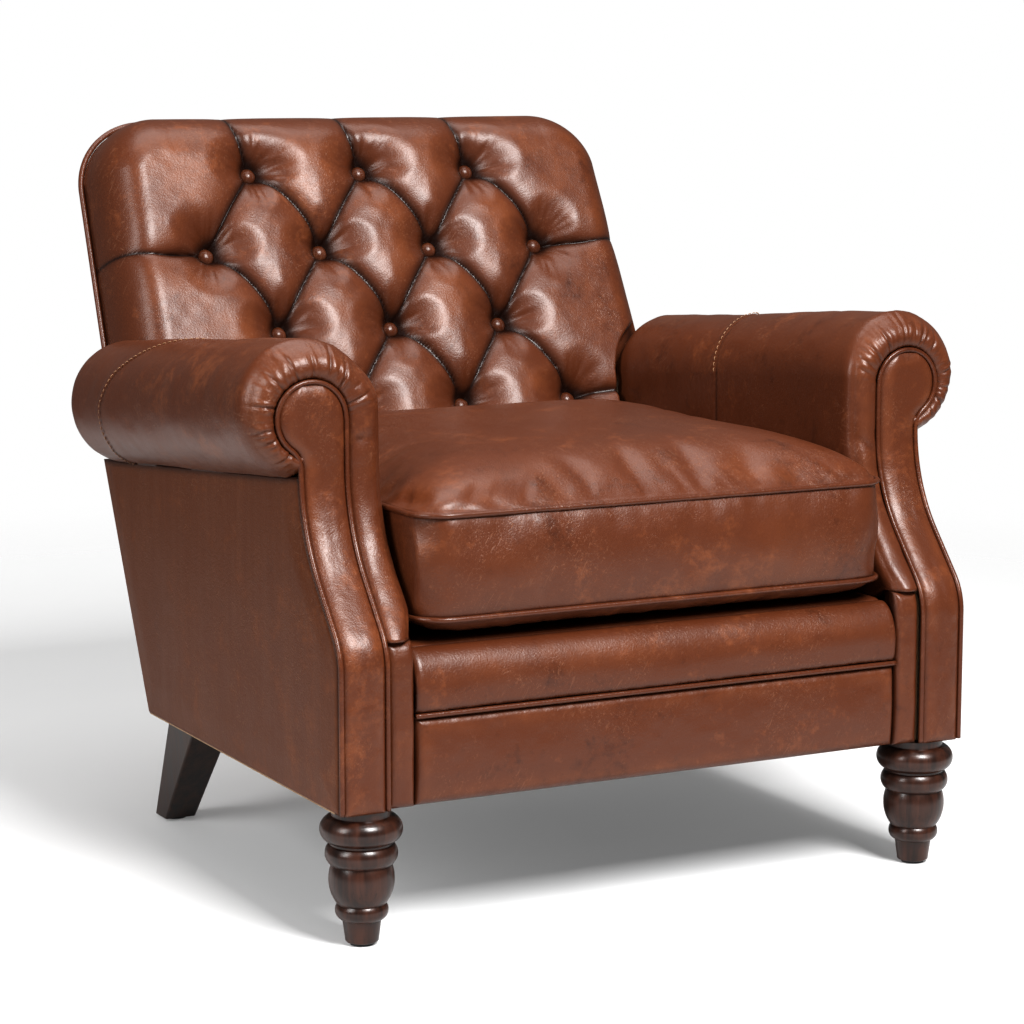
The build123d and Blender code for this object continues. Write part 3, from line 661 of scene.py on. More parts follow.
def lathe(profile, count=36):
    """Rings of a turned shape from (radius, height) pairs, round +Z."""
    angle = np.linspace(0, 2 * math.pi, count, endpoint=False)
    rings = [np.stack([r * np.cos(angle), r * np.sin(angle), np.full(count, h)], axis=1) for r, h in profile]
    return np.concatenate(rings), grid_faces(len(profile), count, wrap=True)


def build_buttons():
    """Leather-covered domed buttons, each with a slightly uneven edge."""
    profile = [
        (0.4, 10.0), (3.4, 9.6), (6.4, 8.2), (8.6, 6.0), (9.8, 3.6), (10.0, 1.6), (9.0, 0.2), (5.0, 0.0),
    ]
    points, faces = [], []
    for i, (x, v) in enumerate(sum(button_places(), [])):
        p, f = lathe(profile, 28)
        wobble = 1 + 0.035 * value_noise(np.arctan2(p[:, 1], p[:, 0]) * 2 + 9, p[:, 2] * 0 + i, 60)
        p = back_point(x + p[:, 0] * wobble, v + p[:, 1] * wobble, BUTTON_W + 2.0 + p[:, 2])
        faces.append(f + sum(len(q) for q in points))
        points.append(p)
    piece(
        "leather_buttons", np.concatenate(points), np.concatenate(faces), CORD_LEATHER,
        stands_for=("back_buttons",),
    )


def build_outside_back():
    """Rear panel with a faint pillow, and the cord round it above the arms."""
    top = BACK_LEN - 1.0
    v = np.r_[np.linspace(1, top - 20, 90), top - 20 * np.array([0.7, 0.4, 0.15, 0.0])]
    a = np.linspace(-1, 1, 81)
    wide = np.where(v < 300, BODY_X - 3.0, back_half(np.maximum(v, 170), BACK_LEN) - 1.0)
    x = wide[:, None] * a[None, :]
    vv = np.broadcast_to(v[:, None], x.shape)
    rim = np.minimum((1 - np.abs(a))[None, :] * wide[:, None], np.minimum(vv, top - vv))
    sag = ramp01(rim / 45.0)
    w_out = -0.6 - 4.0 * sag - 0.8 * value_noise(x / 70 + 30, vv / 70, 8) * sag
    outer = back_point(x, vv, w_out)
    inner_face = back_point(x, vv, np.full_like(x, 1.6))
    points, faces = double_sided(outer, inner_face)
    # painted shade along the panel's edge; the rest faintly rubbed lighter in patches
    shade = np.where(rim < 2.5, -0.5, 0.12)
    piece(
        "outside_back", points, faces, PANEL_LEATHER,
        stands_for=("outside_back_panel",), shade=np.r_[shade.ravel(), shade.ravel()],
    )
    rounded = BACK_CORNER_R * np.sin(np.linspace(0.05, math.pi / 2, 18))
    v = np.r_[np.linspace(322, BACK_LEN - BACK_CORNER_R, 30), BACK_LEN - BACK_CORNER_R + rounded]
    out = back_half(v, BACK_LEN)
    corner = BACK_LEN - BACK_CORNER_R
    centre_x = out[-1]
    grow = CORD_R - 0.5
    scale = np.where(v > corner, (BACK_CORNER_R + grow) / BACK_CORNER_R, 1.0)
    x = np.where(v > corner, centre_x + (out - centre_x) * scale, out + grow)
    v = np.where(v > corner, corner + (v - corner) * scale, v)
    right = np.stack([x, v], axis=1)
    line = np.vstack([right, right[::-1] * (-1, 1)])
    path = resample(back_point(line[:, 0], line[:, 1], 3.2), 6.0)
    p, f = tube(path, CORD_R - 0.2, 12)
    piece("outside_back_cord", p, f, CORD_LEATHER, stands_for=("outside_back_piping",))


# ---- arms ----
def front_profile():
    """(z, y) samples of the S-curved front, from the floor side up."""
    low = np.linspace(math.pi, math.pi - S_ANGLE, 16)
    high = np.linspace(-S_ANGLE, 0, 20)
    tan = math.tan(S_ANGLE / 2)
    z0, z1 = S_BEND_LOW_Z - S_R_LOW * tan, S_BEND_HIGH_Z + S_R_HIGH * tan
    y = np.r_[FRONT_Y + S_R_LOW + S_R_LOW * np.cos(low), ARM_FRONT_Y - S_R_HIGH + S_R_HIGH * np.cos(high)]
    z = np.r_[z0 + S_R_LOW * np.sin(low), z1 + S_R_HIGH * np.sin(high)]
    return np.r_[0, z, 900], np.r_[FRONT_Y, y, ARM_FRONT_Y]


FRONT_Z, FRONT_YS = front_profile()


def front_y(z):
    """Y of the S-curved front at height z."""
    return np.interp(z, FRONT_Z, FRONT_YS)


def rear_y(z, forward):
    """Y of the raked rear at height z, moved forward."""
    return BACK_Y0 + (z - LEG_H) * math.tan(RAKE) - forward / math.cos(RAKE)


def roll_seam_y(angle):
    """Y of the stitched seam round the roll, by angle: -90 underneath, 0 outside, 90 on top, 180 inside."""
    return np.interp(angle, [-80, -40, 0, 30, 60, 90, 140, 180], [123, 96, 83, 62, 20, -24, -38, -46])


def facing_side(z, grow):
    """Outer X of the facing's keyhole at height z, its neck rounded into the head."""
    radius, line, neck = FACE_HEAD_R + grow, FACE_OUT_X + grow, NECK_R - grow
    centre = line + neck
    down = math.sqrt((radius + neck) ** 2 - (centre - FACE_HEAD_X) ** 2)
    neck_z, touch_z = FACE_HEAD_Z - down, FACE_HEAD_Z - down * radius / (radius + neck)
    head = FACE_HEAD_X + np.sqrt(np.maximum(radius**2 - (z - FACE_HEAD_Z) ** 2, 0))
    curve = centre - np.sqrt(np.maximum(neck**2 - (z - neck_z) ** 2, 0))
    return np.where(z >= touch_z, head, np.where(z >= neck_z, curve, line))


def arm_pleats(degrees, row_s, seed):
    """Short gathers across the border, at uneven places, and how strongly each point is creased, which sets
    the painted shade in the pleats.
    """
    rng = np.random.default_rng(seed)
    lift = np.zeros(np.broadcast(degrees, row_s).shape)
    dark = np.zeros_like(lift)
    centres = np.r_[np.linspace(-62, 190, 11) + rng.uniform(-9, 9, 11), rng.uniform(-50, 170, 9)]
    for i, c in enumerate(centres):
        long = i < 11
        lean, strong = rng.uniform(-9, 9), rng.uniform(0.6, 1.2) * (1.0 if long else 0.5)
        middle, reach = rng.uniform(0.42, 0.66), (0.40 if long else 0.20) * rng.uniform(0.8, 1.15)
        envelope = ramp01(1.25 - np.abs(row_s - middle) / reach)
        off = degrees - c - lean * (row_s - 0.5)
        cut = strong * envelope * np.exp(-np.abs(off) / 1.15)
        lift -= 2.1 * cut
        lift += 0.75 * strong * envelope * np.exp(-(((np.abs(off) - 4.5) / 3.0) ** 2))
        dark += cut
    return lift, dark


def build_arm(side, name):
    """Roll, pleated front border and inner arm as one closed cover."""
    seed = 100 if side > 0 else 200
    start = -math.acos((BODY_X - ROLL_X) / ROLL_R)
    angle = np.linspace(start, math.pi, 236)
    drop = np.linspace(0, 1, 64)[1:]
    n_arc, n_all = len(angle), len(angle) + len(drop)
    roll_x = ROLL_X + ROLL_R * np.cos(angle)
    roll_z = ROLL_R * np.sin(angle)
    head = FACE_HEAD_R + 1.6
    face_start = -math.acos((BODY_X - 0.6 - FACE_HEAD_X) / head)
    face_angle = np.linspace(face_start, math.pi, n_arc)
    face_x = np.r_[FACE_HEAD_X + head * np.cos(face_angle), np.full(len(drop), FACE_HEAD_X - head)]
    head_z = FACE_HEAD_Z + head * np.sin(face_angle)
    bottom = STRIP_TOP + 0.6
    face_z = np.r_[head_z, FACE_HEAD_Z + (bottom - FACE_HEAD_Z) * drop]
    edge_x = np.r_[roll_x, np.full(len(drop), ARM_IN_X)]
    edge_z = np.r_[ROLL_Z + roll_z, ROLL_Z + (bottom - ROLL_Z) * drop]
    degrees = np.r_[np.degrees(angle), np.full(len(drop), 180.0) + drop * 60][None, :]
    # front border: a soft roll from the facing's cord out to the edge
    s = np.linspace(1, 0, 27)[:-1][:, None]
    width = np.hypot(edge_x - face_x, edge_z - face_z)[None, :]
    edge_r = 24.0 + 12.0 * np.exp(-(((degrees - 75) / 55) ** 2)) - 10.0 * ramp01((degrees - 130) / 50)
    from_edge, from_cord = s * width, (1 - s) * width
    spread = np.minimum(edge_r, 0.92 * width)
    turn_in = edge_r * (1 - quarter(from_edge / spread))
    belly = 5.0 * np.sin(math.pi * np.clip(from_cord / (0.8 * width), 0, 1)) ** 0.8
    tuck = 4.5 * (1 - quarter(from_cord / 6.0))
    bx = edge_x + (face_x - edge_x) * s
    bz = edge_z + (face_z - edge_z) * s
    border = np.stack([bx, front_y(bz) + turn_in - belly + tuck, bz], axis=-1)
    # the run of the arm to its rounded rear end
    t = np.r_[np.linspace(0, 0.10, 10), np.linspace(0.10, 1.0, 150)[1:]][:, None]
    fy = front_y(edge_z)[None, :] + edge_r
    cap = 36.0
    low_z = np.r_[ROLL_Z + roll_z, ROLL_Z + (bottom - 12 - ROLL_Z) * drop]
    ry = np.minimum(ARM_REAR_Y + 9.0 - cap, rear_y(low_z, 6.0) - cap * 0.6)[None, :]
    y = fy + (ry - fy) * t
    fall = (y - ARM_FRONT_Y) * math.tan(ARM_SLOPE)
    floor_z = bottom - 14.0 * ramp01((y + 396.0) / 30.0)
    down = np.r_[np.zeros(n_arc), drop][None, :]
    arc = np.r_[roll_z, np.zeros(len(drop))][None, :]
    z = (ROLL_Z - fall + arc) * (1 - down) + floor_z * down
    run = np.stack([np.broadcast_to(edge_x, y.shape), y, z], axis=-1)
    # rounded rear: rings draw in as they go back
    turn = np.linspace(0, math.pi / 2, 14)[1:][:, None]
    pull_in = cap * (1 - np.cos(turn))
    normal_x = np.r_[np.cos(angle), np.full(len(drop), -1.0)]
    normal_z = np.r_[np.sin(angle), np.zeros(len(drop))]
    end = run[-1]
    rear_x, rear_z = end[:, 0] - normal_x * pull_in, end[:, 2] - normal_z * pull_in
    rear = np.stack([rear_x, end[:, 1] + cap * np.sin(turn), rear_z], axis=-1)
    grid = np.concatenate([border, run, rear])
    rows = len(grid)
    out = grid_normals(grid)
    if out[len(border) + 30, n_arc // 2, 2] < 0:
        out = -out
    row_s = np.r_[s[:, 0], -np.linspace(0, 1, rows - len(border))][:, None]
    pleat, dark = arm_pleats(degrees, row_s, seed)
    lift = pleat * (degrees < 205)
    lift += 0.35 * value_noise(degrees / 3.2 + 40, 4 * row_s + 20, seed + 3) * ramp01((row_s + 0.1) / 0.4)
    yy = grid[..., 1]
    lift += 1.3 * value_noise(yy / 70 + 30, degrees / 45 + 20, seed + 1) * ramp01((yy + 330) / 60)
    lift += 0.4 * value_noise(yy / 18 + 30, degrees / 12 + 20, seed + 2)
    seam = roll_seam_y(degrees)
    seam_gap = np.abs(yy - seam)
    on_roll = (degrees < 205) * 1.0
    lift -= 1.3 * np.exp(-seam_gap / 1.5) * on_roll
    lift += 0.7 * np.exp(-(((yy - seam - 7.0) / 5.0) ** 2)) * on_roll
    # the padding swells inwards behind the border
    inward = ramp01((degrees - 130) / 50) * np.clip(1.4 * (1 - row_s), 0, 1)
    behind = np.clip(yy - fy, 0, None)
    swell = INNER_SWELL[side] * inward * np.exp(-((behind / 90.0) ** 2))
    swell = swell * ramp01((grid[..., 2] - bottom + 2) / 30)
    grid = grid + out * lift[..., None]
    on_face = degrees > 178
    grid[..., 0] = np.where(on_face, np.maximum(grid[..., 0], ARM_IN_X - 0.4), grid[..., 0]) - swell
    grid[..., 1] = np.minimum(grid[..., 1], rear_y(grid[..., 2], 5.0))
    # painted shade by the cord, in the pleats, at the roll's seam and low on the inner face; painted
    # highlight and rubbed wear along the border's middle and the roll's top
    shade = -0.9 * ramp01((row_s - 0.95) / 0.05)
    shade = shade - 0.75 * np.clip(dark, 0, 1.2)
    shade = shade + 0.65 * np.exp(-((row_s - 0.40) / 0.28) ** 2) * (1 - ramp01((degrees - 200) / 40) * 0.3)
    shade = shade + 0.30 * np.exp(-(((degrees - 95) / 45) ** 2)) * (row_s <= 0)
    shade = shade - 0.8 * np.exp(-seam_gap / 1.3) * on_roll
    shade = shade - 0.6 * ramp01((degrees - 232) / 8) * (row_s < 0)
    # inner wall that closes the section behind the side panel, level with the inner face
    base = len(border)
    picks = np.arange(n_all - 1, n_arc + 16, -5)
    wall = grid[base:, picks].copy()
    wall[..., 0] = ARM_IN_X + 27
    shoulder = wall[:, -1:] + (26, 0, 6)
    inner = np.concatenate([wall, shoulder], axis=1)
    inner[..., 1] = np.minimum(inner[..., 1], rear_y(inner[..., 2], 5.0))
    count = rows * n_all
    k = inner.shape[1]
    last = (base + np.arange(len(inner))) * n_all + n_all - 1
    first = (base + np.arange(len(inner))) * n_all
    ring = np.concatenate(
        [last[:, None], count + np.arange(len(inner) * k).reshape(-1, k), first[:, None]], axis=1
    )
    closing = np.stack([ring[:-1, :-1], ring[:-1, 1:], ring[1:, 1:], ring[1:, :-1]], axis=-1).reshape(-1, 4)
    faces = [grid_faces(rows, n_all), closing]
    points = np.concatenate([grid.reshape(-1, 3), inner.reshape(-1, 3)])
    shade = np.r_[np.clip(shade, -1, 1).ravel(), np.zeros(len(inner) * k)]
    piece(
        f"{name}_arm", points, np.vstack(faces), LEATHER, side=side, shade=shade,
        stands_for=(f"{name}_arm_cover", f"{name}_arm_foam"),
    )
    # thread along the seam
    pick = np.linspace(math.degrees(start), 179, 120)
    a = np.radians(pick)
    sy = roll_seam_y(pick) + 4.0
    zc = ROLL_Z - (sy - ARM_FRONT_Y) * math.tan(ARM_SLOPE)
    path = np.stack([ROLL_X + (ROLL_R + 0.9) * np.cos(a), sy, zc + (ROLL_R + 0.9) * np.sin(a)], axis=1)
    up = np.stack([np.cos(a), 0 * a, np.sin(a)], axis=1)
    p, f = stitches(path, up, 4.2, 2.6, 0.45)
    piece(f"{name}_arm_stitches", p, f, THREAD, side=side)


def build_facing(side, name):
    """Padded front of the arm inside its cord."""
    seed = 300 if side > 0 else 400
    inset = -1.6
    top = FACE_HEAD_Z + FACE_HEAD_R + inset
    rounded = 1 - np.sin(np.linspace(0, math.pi / 2, 27)[1:])
    z = np.r_[np.linspace(LEG_H, 500, 170), top - (top - 500) * rounded]
    right = facing_side(z, inset)
    reach = np.sqrt(np.maximum((FACE_HEAD_R + inset) ** 2 - (z - FACE_HEAD_Z) ** 2, 0))
    left = np.where(z > FACE_HEAD_Z, FACE_HEAD_X - reach, FACE_IN_X - inset)
    a = np.sin(np.linspace(-math.pi / 2, math.pi / 2, 37))
    x = (left + right)[:, None] / 2 + (right - left)[:, None] / 2 * a[None, :]
    zz = np.broadcast_to(z[:, None], x.shape)
    rim = np.minimum((right - left)[:, None] / 2 * (1 - np.abs(a)), np.minimum(top - zz, zz - LEG_H + 3))
    rim = np.maximum(rim, 0)
    crown = 8.5 * quarter(rim / 19.0) - 2.5
    soft = 0.5 * value_noise(x / 22 + 20, zz / 30 + 20, seed)
    soft = soft + 0.25 * value_noise(x / 6 + 20, zz / 9 + 20, seed + 1)
    gather = 0.4 * value_noise(x * 0 + 3, zz / 4.5 + 10, seed + 2) * np.exp(-rim / 5.0)
    y = front_y(zz) - crown - (soft + gather) * ramp01(rim / 6)
    front = np.stack([x, y, zz], axis=-1)
    back = front.copy()
    back[..., 1] = front_y(zz) + 9.0
    # painted shade at the rim beside the cord; painted highlight and rubbed wear on a band just inside it
    shade = 0.55 * np.exp(-(((rim - 8.0) / 7.0) ** 2)) - 1.0 * np.exp(-rim / 1.3)
    points, faces = double_sided(front, back)
    piece(
        f"{name}_facing", points, faces, LEATHER, side=side, stands_for=(f"{name}_arm_facing",),
        shade=np.r_[shade.ravel(), shade.ravel()],
    )
    arc = np.linspace(math.pi, 0, 50)
    down = np.linspace(FACE_HEAD_Z, LEG_H + 1, 300)
    x = np.r_[np.full(80, FACE_IN_X), FACE_HEAD_X + FACE_HEAD_R * np.cos(arc), facing_side(down, 0.0)[1:]]
    z = np.r_[np.linspace(LEG_H + 1, FACE_HEAD_Z - 3, 80), FACE_HEAD_Z + FACE_HEAD_R * np.sin(arc), down[1:]]
    path = resample(np.stack([x, front_y(z) - 1.0, z], axis=1), 3.5)
    p, f = tube(path, CORD, 12)
    piece(
        f"{name}_facing_cord", p, f, CORD_LEATHER, side=side,
        stands_for=(f"{name}_facing_piping",),
    )


def pillow_block(x0, x1, y0, y1, z0, z1, radius, crown, seed, nx=60, nz=40):
    """A soft block whose front is pillowed and whose edges are rounded, closed at the back."""
    a = np.linspace(-1, 1, nx)
    b = np.linspace(-1, 1, nz)
    a = np.sign(a) * (1 - (1 - np.abs(a)) ** 1.5)
    b = np.sign(b) * (1 - (1 - np.abs(b)) ** 1.5)
    x = (x0 + x1) / 2 + (x1 - x0) / 2 * a[None, :] + 0 * b[:, None]
    z = (z0 + z1) / 2 + (z1 - z0) / 2 * b[:, None] + 0 * a[None, :]
    rim = np.minimum(np.minimum(x - x0, x1 - x), np.minimum(z - z0, z1 - z))
    rise = 1 - np.clip(rim / radius, 0, 1)
    shape = np.sqrt(np.maximum(1 - rise**2, 0))
    middle = (1 - ((z - z0) / (z1 - z0) * 2 - 1) ** 2)
    soft = 0.7 * value_noise(x / 45 + 30, z / 30 + 20, seed)
    soft = soft + 0.3 * value_noise(x / 12 + 30, z / 10 + 20, seed + 1)
    pucker = 0.6 * value_noise(x / 5.0 + 30, z * 0 + 5, seed + 2) * np.exp(-rim / 6.0)
    y = y0 + radius * (1 - shape) - crown * middle * shape - (soft + pucker) * shape
    y = y + front_y(z) - FRONT_Y
    front = np.stack([x, y, z], axis=-1)
    back = np.stack([x, np.full_like(x, y1), z], axis=-1)
    points, faces = double_sided(front, back)
    # painted shade at the rim; painted highlight and rubbed wear on the rounded edge
    shade = 0.5 * np.exp(-(((rim - radius) / radius) ** 2)) - 1.0 * np.exp(-rim / 1.4)
    return points, faces, np.r_[shade.ravel(), shade.ravel()]


def build_strips_and_borders():
    """Narrow strips beside the facings, and the two bands of the seat front with the cord between."""
    for side, name in ((1, "right"), (-1, "left")):
        p, f, shade = pillow_block(
            ARM_IN_X + 0.3, STRIP_OUT_X, FRONT_Y + 1.5, BORDER_BACK_Y, LEG_H, STRIP_TOP,
            8.0, 1.5, 520 + side, 24, 70,
        )
        piece(
            f"{name}_strip", p, f, LEATHER, side=side,
            stands_for=(f"{name}_front_strip",), shade=shade,
        )
    low_top = SEAM_Z - CORD + 0.6
    p, f, shade = pillow_block(
        -BORDER_X, BORDER_X, FRONT_Y + 3.5, BORDER_BACK_Y, LEG_H, low_top, 9.0, 4.0, 540, 220, 44
    )
    piece("seat_front_lower", p, f, LEATHER, stands_for=("front_border_lower",), shade=shade)
    # upper band: rises from the cord, swells, and rolls back to meet the cushion
    low = SEAM_Z + CORD - 0.6
    turn = np.linspace(0, math.pi / 2, 34)
    depth, height = 23.5, 44.0
    top_z = BORDER_TOP + 6.5
    rise = np.linspace(low, top_z - height, 16)
    y = np.r_[np.full(16, BORDER_FRONT_Y), BORDER_FRONT_Y + depth * (1 - np.cos(turn[1:]))]
    z = np.r_[rise, top_z - height + height * np.sin(turn[1:])]
    near = z - low
    belly = 3.0 * np.sin(np.clip(near / (top_z - low), 0, 1) * math.pi) ** 0.6
    tuck = 5.0 * (1 - quarter(near / 9.0))
    y = np.minimum(y - belly + tuck, BORDER_BACK_Y - 0.2)
    a = np.linspace(-1, 1, 220)
    a = np.sign(a) * (1 - (1 - np.abs(a)) ** 1.4)
    x = BORDER_X * a[:, None] + 0 * y[None, :]
    end = BORDER_X - np.abs(x)
    pinch = 1 - quarter(end / 8.0)
    yy = y[None, :] + 5.0 * pinch + 0 * x
    zz = z[None, :] - 3.0 * pinch * (z[None, :] > low + 20)
    soft = 0.9 * value_noise(x / 50 + 30, z[None, :] / 30 + 20, 560) + 0.7 * value_noise(
        x / 5.5 + 40, z[None, :] * 0 + 4, 561) * np.exp(-np.maximum(near[None, :], 0) / 7.0)
    yy = yy - soft
    front = np.stack([x, yy, zz], axis=-1)
    back = np.stack([x[:, :1], 0 * x[:, :1] + BORDER_BACK_Y, 0 * x[:, :1] + low], axis=-1)
    grid = np.concatenate([front, back], axis=1)
    gap = np.minimum(np.abs(z[None, :] - low) + 0 * x, end)
    # painted highlight and rubbed wear along the top roll; painted shade by the cord and at the ends
    shade = 0.6 * np.exp(-(((z[None, :] - BORDER_TOP + 14) / 14.0) ** 2)) - 1.0 * np.exp(-gap / 1.4)
    shade = np.concatenate([shade, shade[:, :1]], axis=1)
    rows, cols = grid.shape[:2]
    piece(
        "seat_front_upper", grid, grid_faces(rows, cols, wrap=True), LEATHER,
        stands_for=("front_border_upper",), shade=shade,
    )
    path = np.stack([np.linspace(-BORDER_X, BORDER_X, 120), np.full(120, BORDER_FRONT_Y + 1.2),
                     np.full(120, SEAM_Z)], axis=1)
    p, f = tube(path, CORD, 12)
    piece("seat_front_cord", p, f, CORD_LEATHER, stands_for=("front_border_piping",))


def build_side_panel(side, name):
    """Outside arm: a taut panel from under the roll to the bottom edge, turned in behind the roll."""
    z_low = LEG_H + 0.3
    b = np.linspace(0, 1, 110)[:, None]
    a = np.linspace(0, 1, 120)
    a = (0.5 - 0.5 * np.cos(a * math.pi)) * 0.35 + a * 0.65
    y = front_y(z_low + 0 * b) + 0 * a
    for _ in range(3):
        fall = (y - ARM_FRONT_Y) * math.tan(ARM_SLOPE)
        z_high = ROLL_Z - ROLL_R + 3.2 - fall
        z = z_low + (z_high - z_low) * b
        y0 = front_y(z) + 3.4
        y1 = rear_y(z, 1.0)
        y = y0 + (y1 - y0) * a[None, :]
    rim = np.minimum(np.minimum(y - y0, y1 - y), z - z_low)
    waver = 0.9 * value_noise(y / 80 + 20, z / 90 + 20, 600 + side) * ramp01(rim / 30.0)
    x = BODY_X - 2.6 + 2.0 * np.sqrt(np.clip(rim / 5.0, 0, 1)) + 2.2 * ramp01(rim / 40.0) + waver
    # painted shade along the panel's edges and at its top under the roll
    shade = np.where(rim < 2.0, -0.7, 0.0) - 0.8 * ramp01((z - z_high + 9.0) / 9.0)
    turned = 62.0 * ramp01((y[-1] - ARM_REAR_Y + 34.0) / 24.0)
    k = np.linspace(0, 1, 9)[1:, None]
    shelf = np.stack([x[-1] - turned * k, y[-1] + 0 * k, z[-1] - 0.6 * k], axis=-1)
    outer = np.concatenate([np.stack([x, y, z], axis=-1), shelf])
    inner = outer - (2.8, 0, 0)
    inner[len(x):, :, 2] -= 2.4
    # painted shade on the shelf turned in behind the roll
    shade = np.concatenate([shade, np.full(shelf.shape[:2], -0.6)])
    points, faces = double_sided(outer, inner)
    piece(
        f"{name}_outside_arm", points, faces, PANEL_LEATHER, side=side, stands_for=(f"{name}_side_panel",),
        shade=np.clip(np.r_[shade.ravel(), shade.ravel()], -1, 1),
    )


def build_arm_board(side, name):
    """Sloping board that carries the roll, its edges eased and its rear end kept inside the roll."""
    node = "right_arm_board"
    x0, x1 = edge(node, 0, 0), edge(node, 1, 0)
    half_w, half_h, ease = (x1 - x0) / 2, BOARD_THICK / 2, 3.0
    ring = []
    for sx, sz, start in ((1, 1, 0), (-1, 1, 90), (-1, -1, 180), (1, -1, 270)):
        for d in np.radians(np.linspace(start, start + 90, 5)):
            at_x, at_z = sx * (half_w - ease), sz * (half_h - ease)
            ring.append((at_x + ease * math.cos(d), at_z + ease * math.sin(d)))
    ring = np.array(ring)
    run = np.linspace(edge(node, 0, 1), ARM_REAR_Y - 2.0, 30)
    y = np.r_[run[0], run, run[-1]][:, None]
    size = np.r_[0.02, np.ones(30), 0.02][:, None]
    centre_z = edge(node, 1, 2) - half_h - (y - run[0]) * math.tan(BOARD_SLOPE)
    x = (x0 + x1) / 2 + ring[:, 0] * size
    grid = np.stack([x, y + 0 * x, centre_z + ring[:, 1] * size], axis=-1)
    piece(
        f"{name}_arm_plank", grid, grid_faces(len(y), len(ring), wrap=True), FINISHES["beech"],
        side=side, stands_for=(f"{name}_arm_board",),
    )


# ---- seat ----
def build_deck():
    """Seat deck under the cushion: a leather lip at the front, then lining cloth."""
    x_half, z_top = edge("seat_deck_pad", 1, 0), edge("seat_deck_pad", 1, 2)
    y0, y1 = edge("seat_deck_pad", 0, 1), edge("seat_deck_pad", 1, 1)
    z_low = edge("seat_deck_pad", 0, 2)
    for name, ya, yb, material, stands in (
        ("deck_lip", y0, y0 + 110, LEATHER, ()),
        ("deck_lining", y0 + 110, y1, LINING, ("seat_deck_pad",)),
    ):
        a, b = np.linspace(-1, 1, 90), np.linspace(0, 1, 70)
        x = x_half * a[None, :] + 0 * b[:, None]
        y = ya + (yb - ya) * b[:, None] + 0 * a[None, :]
        rim = np.minimum(x_half - np.abs(x), np.minimum(y - ya, yb - y))
        z = z_top - 6.0 + 5.6 * quarter(rim / 14.0)
        z += 0.35 * value_noise(x / 60 + 20, y / 60 + 20, 640)
        z = np.minimum(z, z_top - 0.1)
        top = np.stack([x, y, z], axis=-1)
        low = np.stack([x, y, np.full_like(x, z_low)], axis=-1)
        points, faces = double_sided(top, low)
        piece(name, points, faces, material, stands_for=stands)


def cushion_rear(z):
    """Y of the cushion's raked rear at height z."""
    return rear_y(z, CUSHION_REAR_W)


def cushion_outline(z, grow=0.0, step=5.0):
    """Rounded rectangle of the cushion at height z, as points round it."""
    x1, y0, y1 = CUSHION_X + grow, CUSHION_FRONT_Y - grow, cushion_rear(z) + grow
    r = CUSHION_CORNER_R + grow
    points = []
    right, left, front, rear = x1 - r, -x1 + r, y0 + r, y1 - r
    for cx, cy, start in ((right, front, -90), (right, rear, 0), (left, rear, 90), (left, front, 180)):
        for d in np.linspace(start, start + 90, 12):
            turn = math.radians(d)
            points.append((CUSHION_SHIFT + cx + r * math.cos(turn), cy + r * math.sin(turn), z))
    return resample(points, step, closed=True)


def cushion_shell():
    """Seat cushion before it is inflated: boxing between the seams, and crowned panels above and below."""
    seams, n = [], None
    for z in np.linspace(CUSHION_SEAM_LOW, CUSHION_SEAM_HIGH, 17):
        ring = cushion_outline(z, 0.0, 4.0)
        n = n or len(ring)
        run = np.r_[0, np.cumsum(np.linalg.norm(np.diff(np.vstack([ring, ring[:1]]), axis=0), axis=1))]
        at = np.linspace(0, run[-1], n, endpoint=False)
        loop = np.vstack([ring, ring[:1]])
        seams.append(np.stack([np.interp(at, run, loop[:, k]) for k in range(3)], axis=1))
    mid = np.array([CUSHION_SHIFT, (CUSHION_FRONT_Y + cushion_rear(CUSHION_SEAM_HIGH)) / 2, 0.0])
    shrink = np.sin(np.linspace(math.pi / 2, 0.012, 70))[1:]
    top_rise = CUSHION_Z1 - CUSHION_SEAM_HIGH
    low_drop = CUSHION_SEAM_LOW - CUSHION_Z0
    upper, lower = [], []
    for m in shrink:
        for seam, store, sign, rise, power in (
            (seams[-1], upper, 1, top_rise, 2.5), (seams[0], lower, -1, low_drop, 9.0),
        ):
            p = mid + (seam - mid) * (m, m, 0)
            p[:, 2] = seam[:, 2] + sign * rise * (1 - m**power) ** 0.62
            store.append(p)
    return np.array(lower[::-1] + seams + upper)


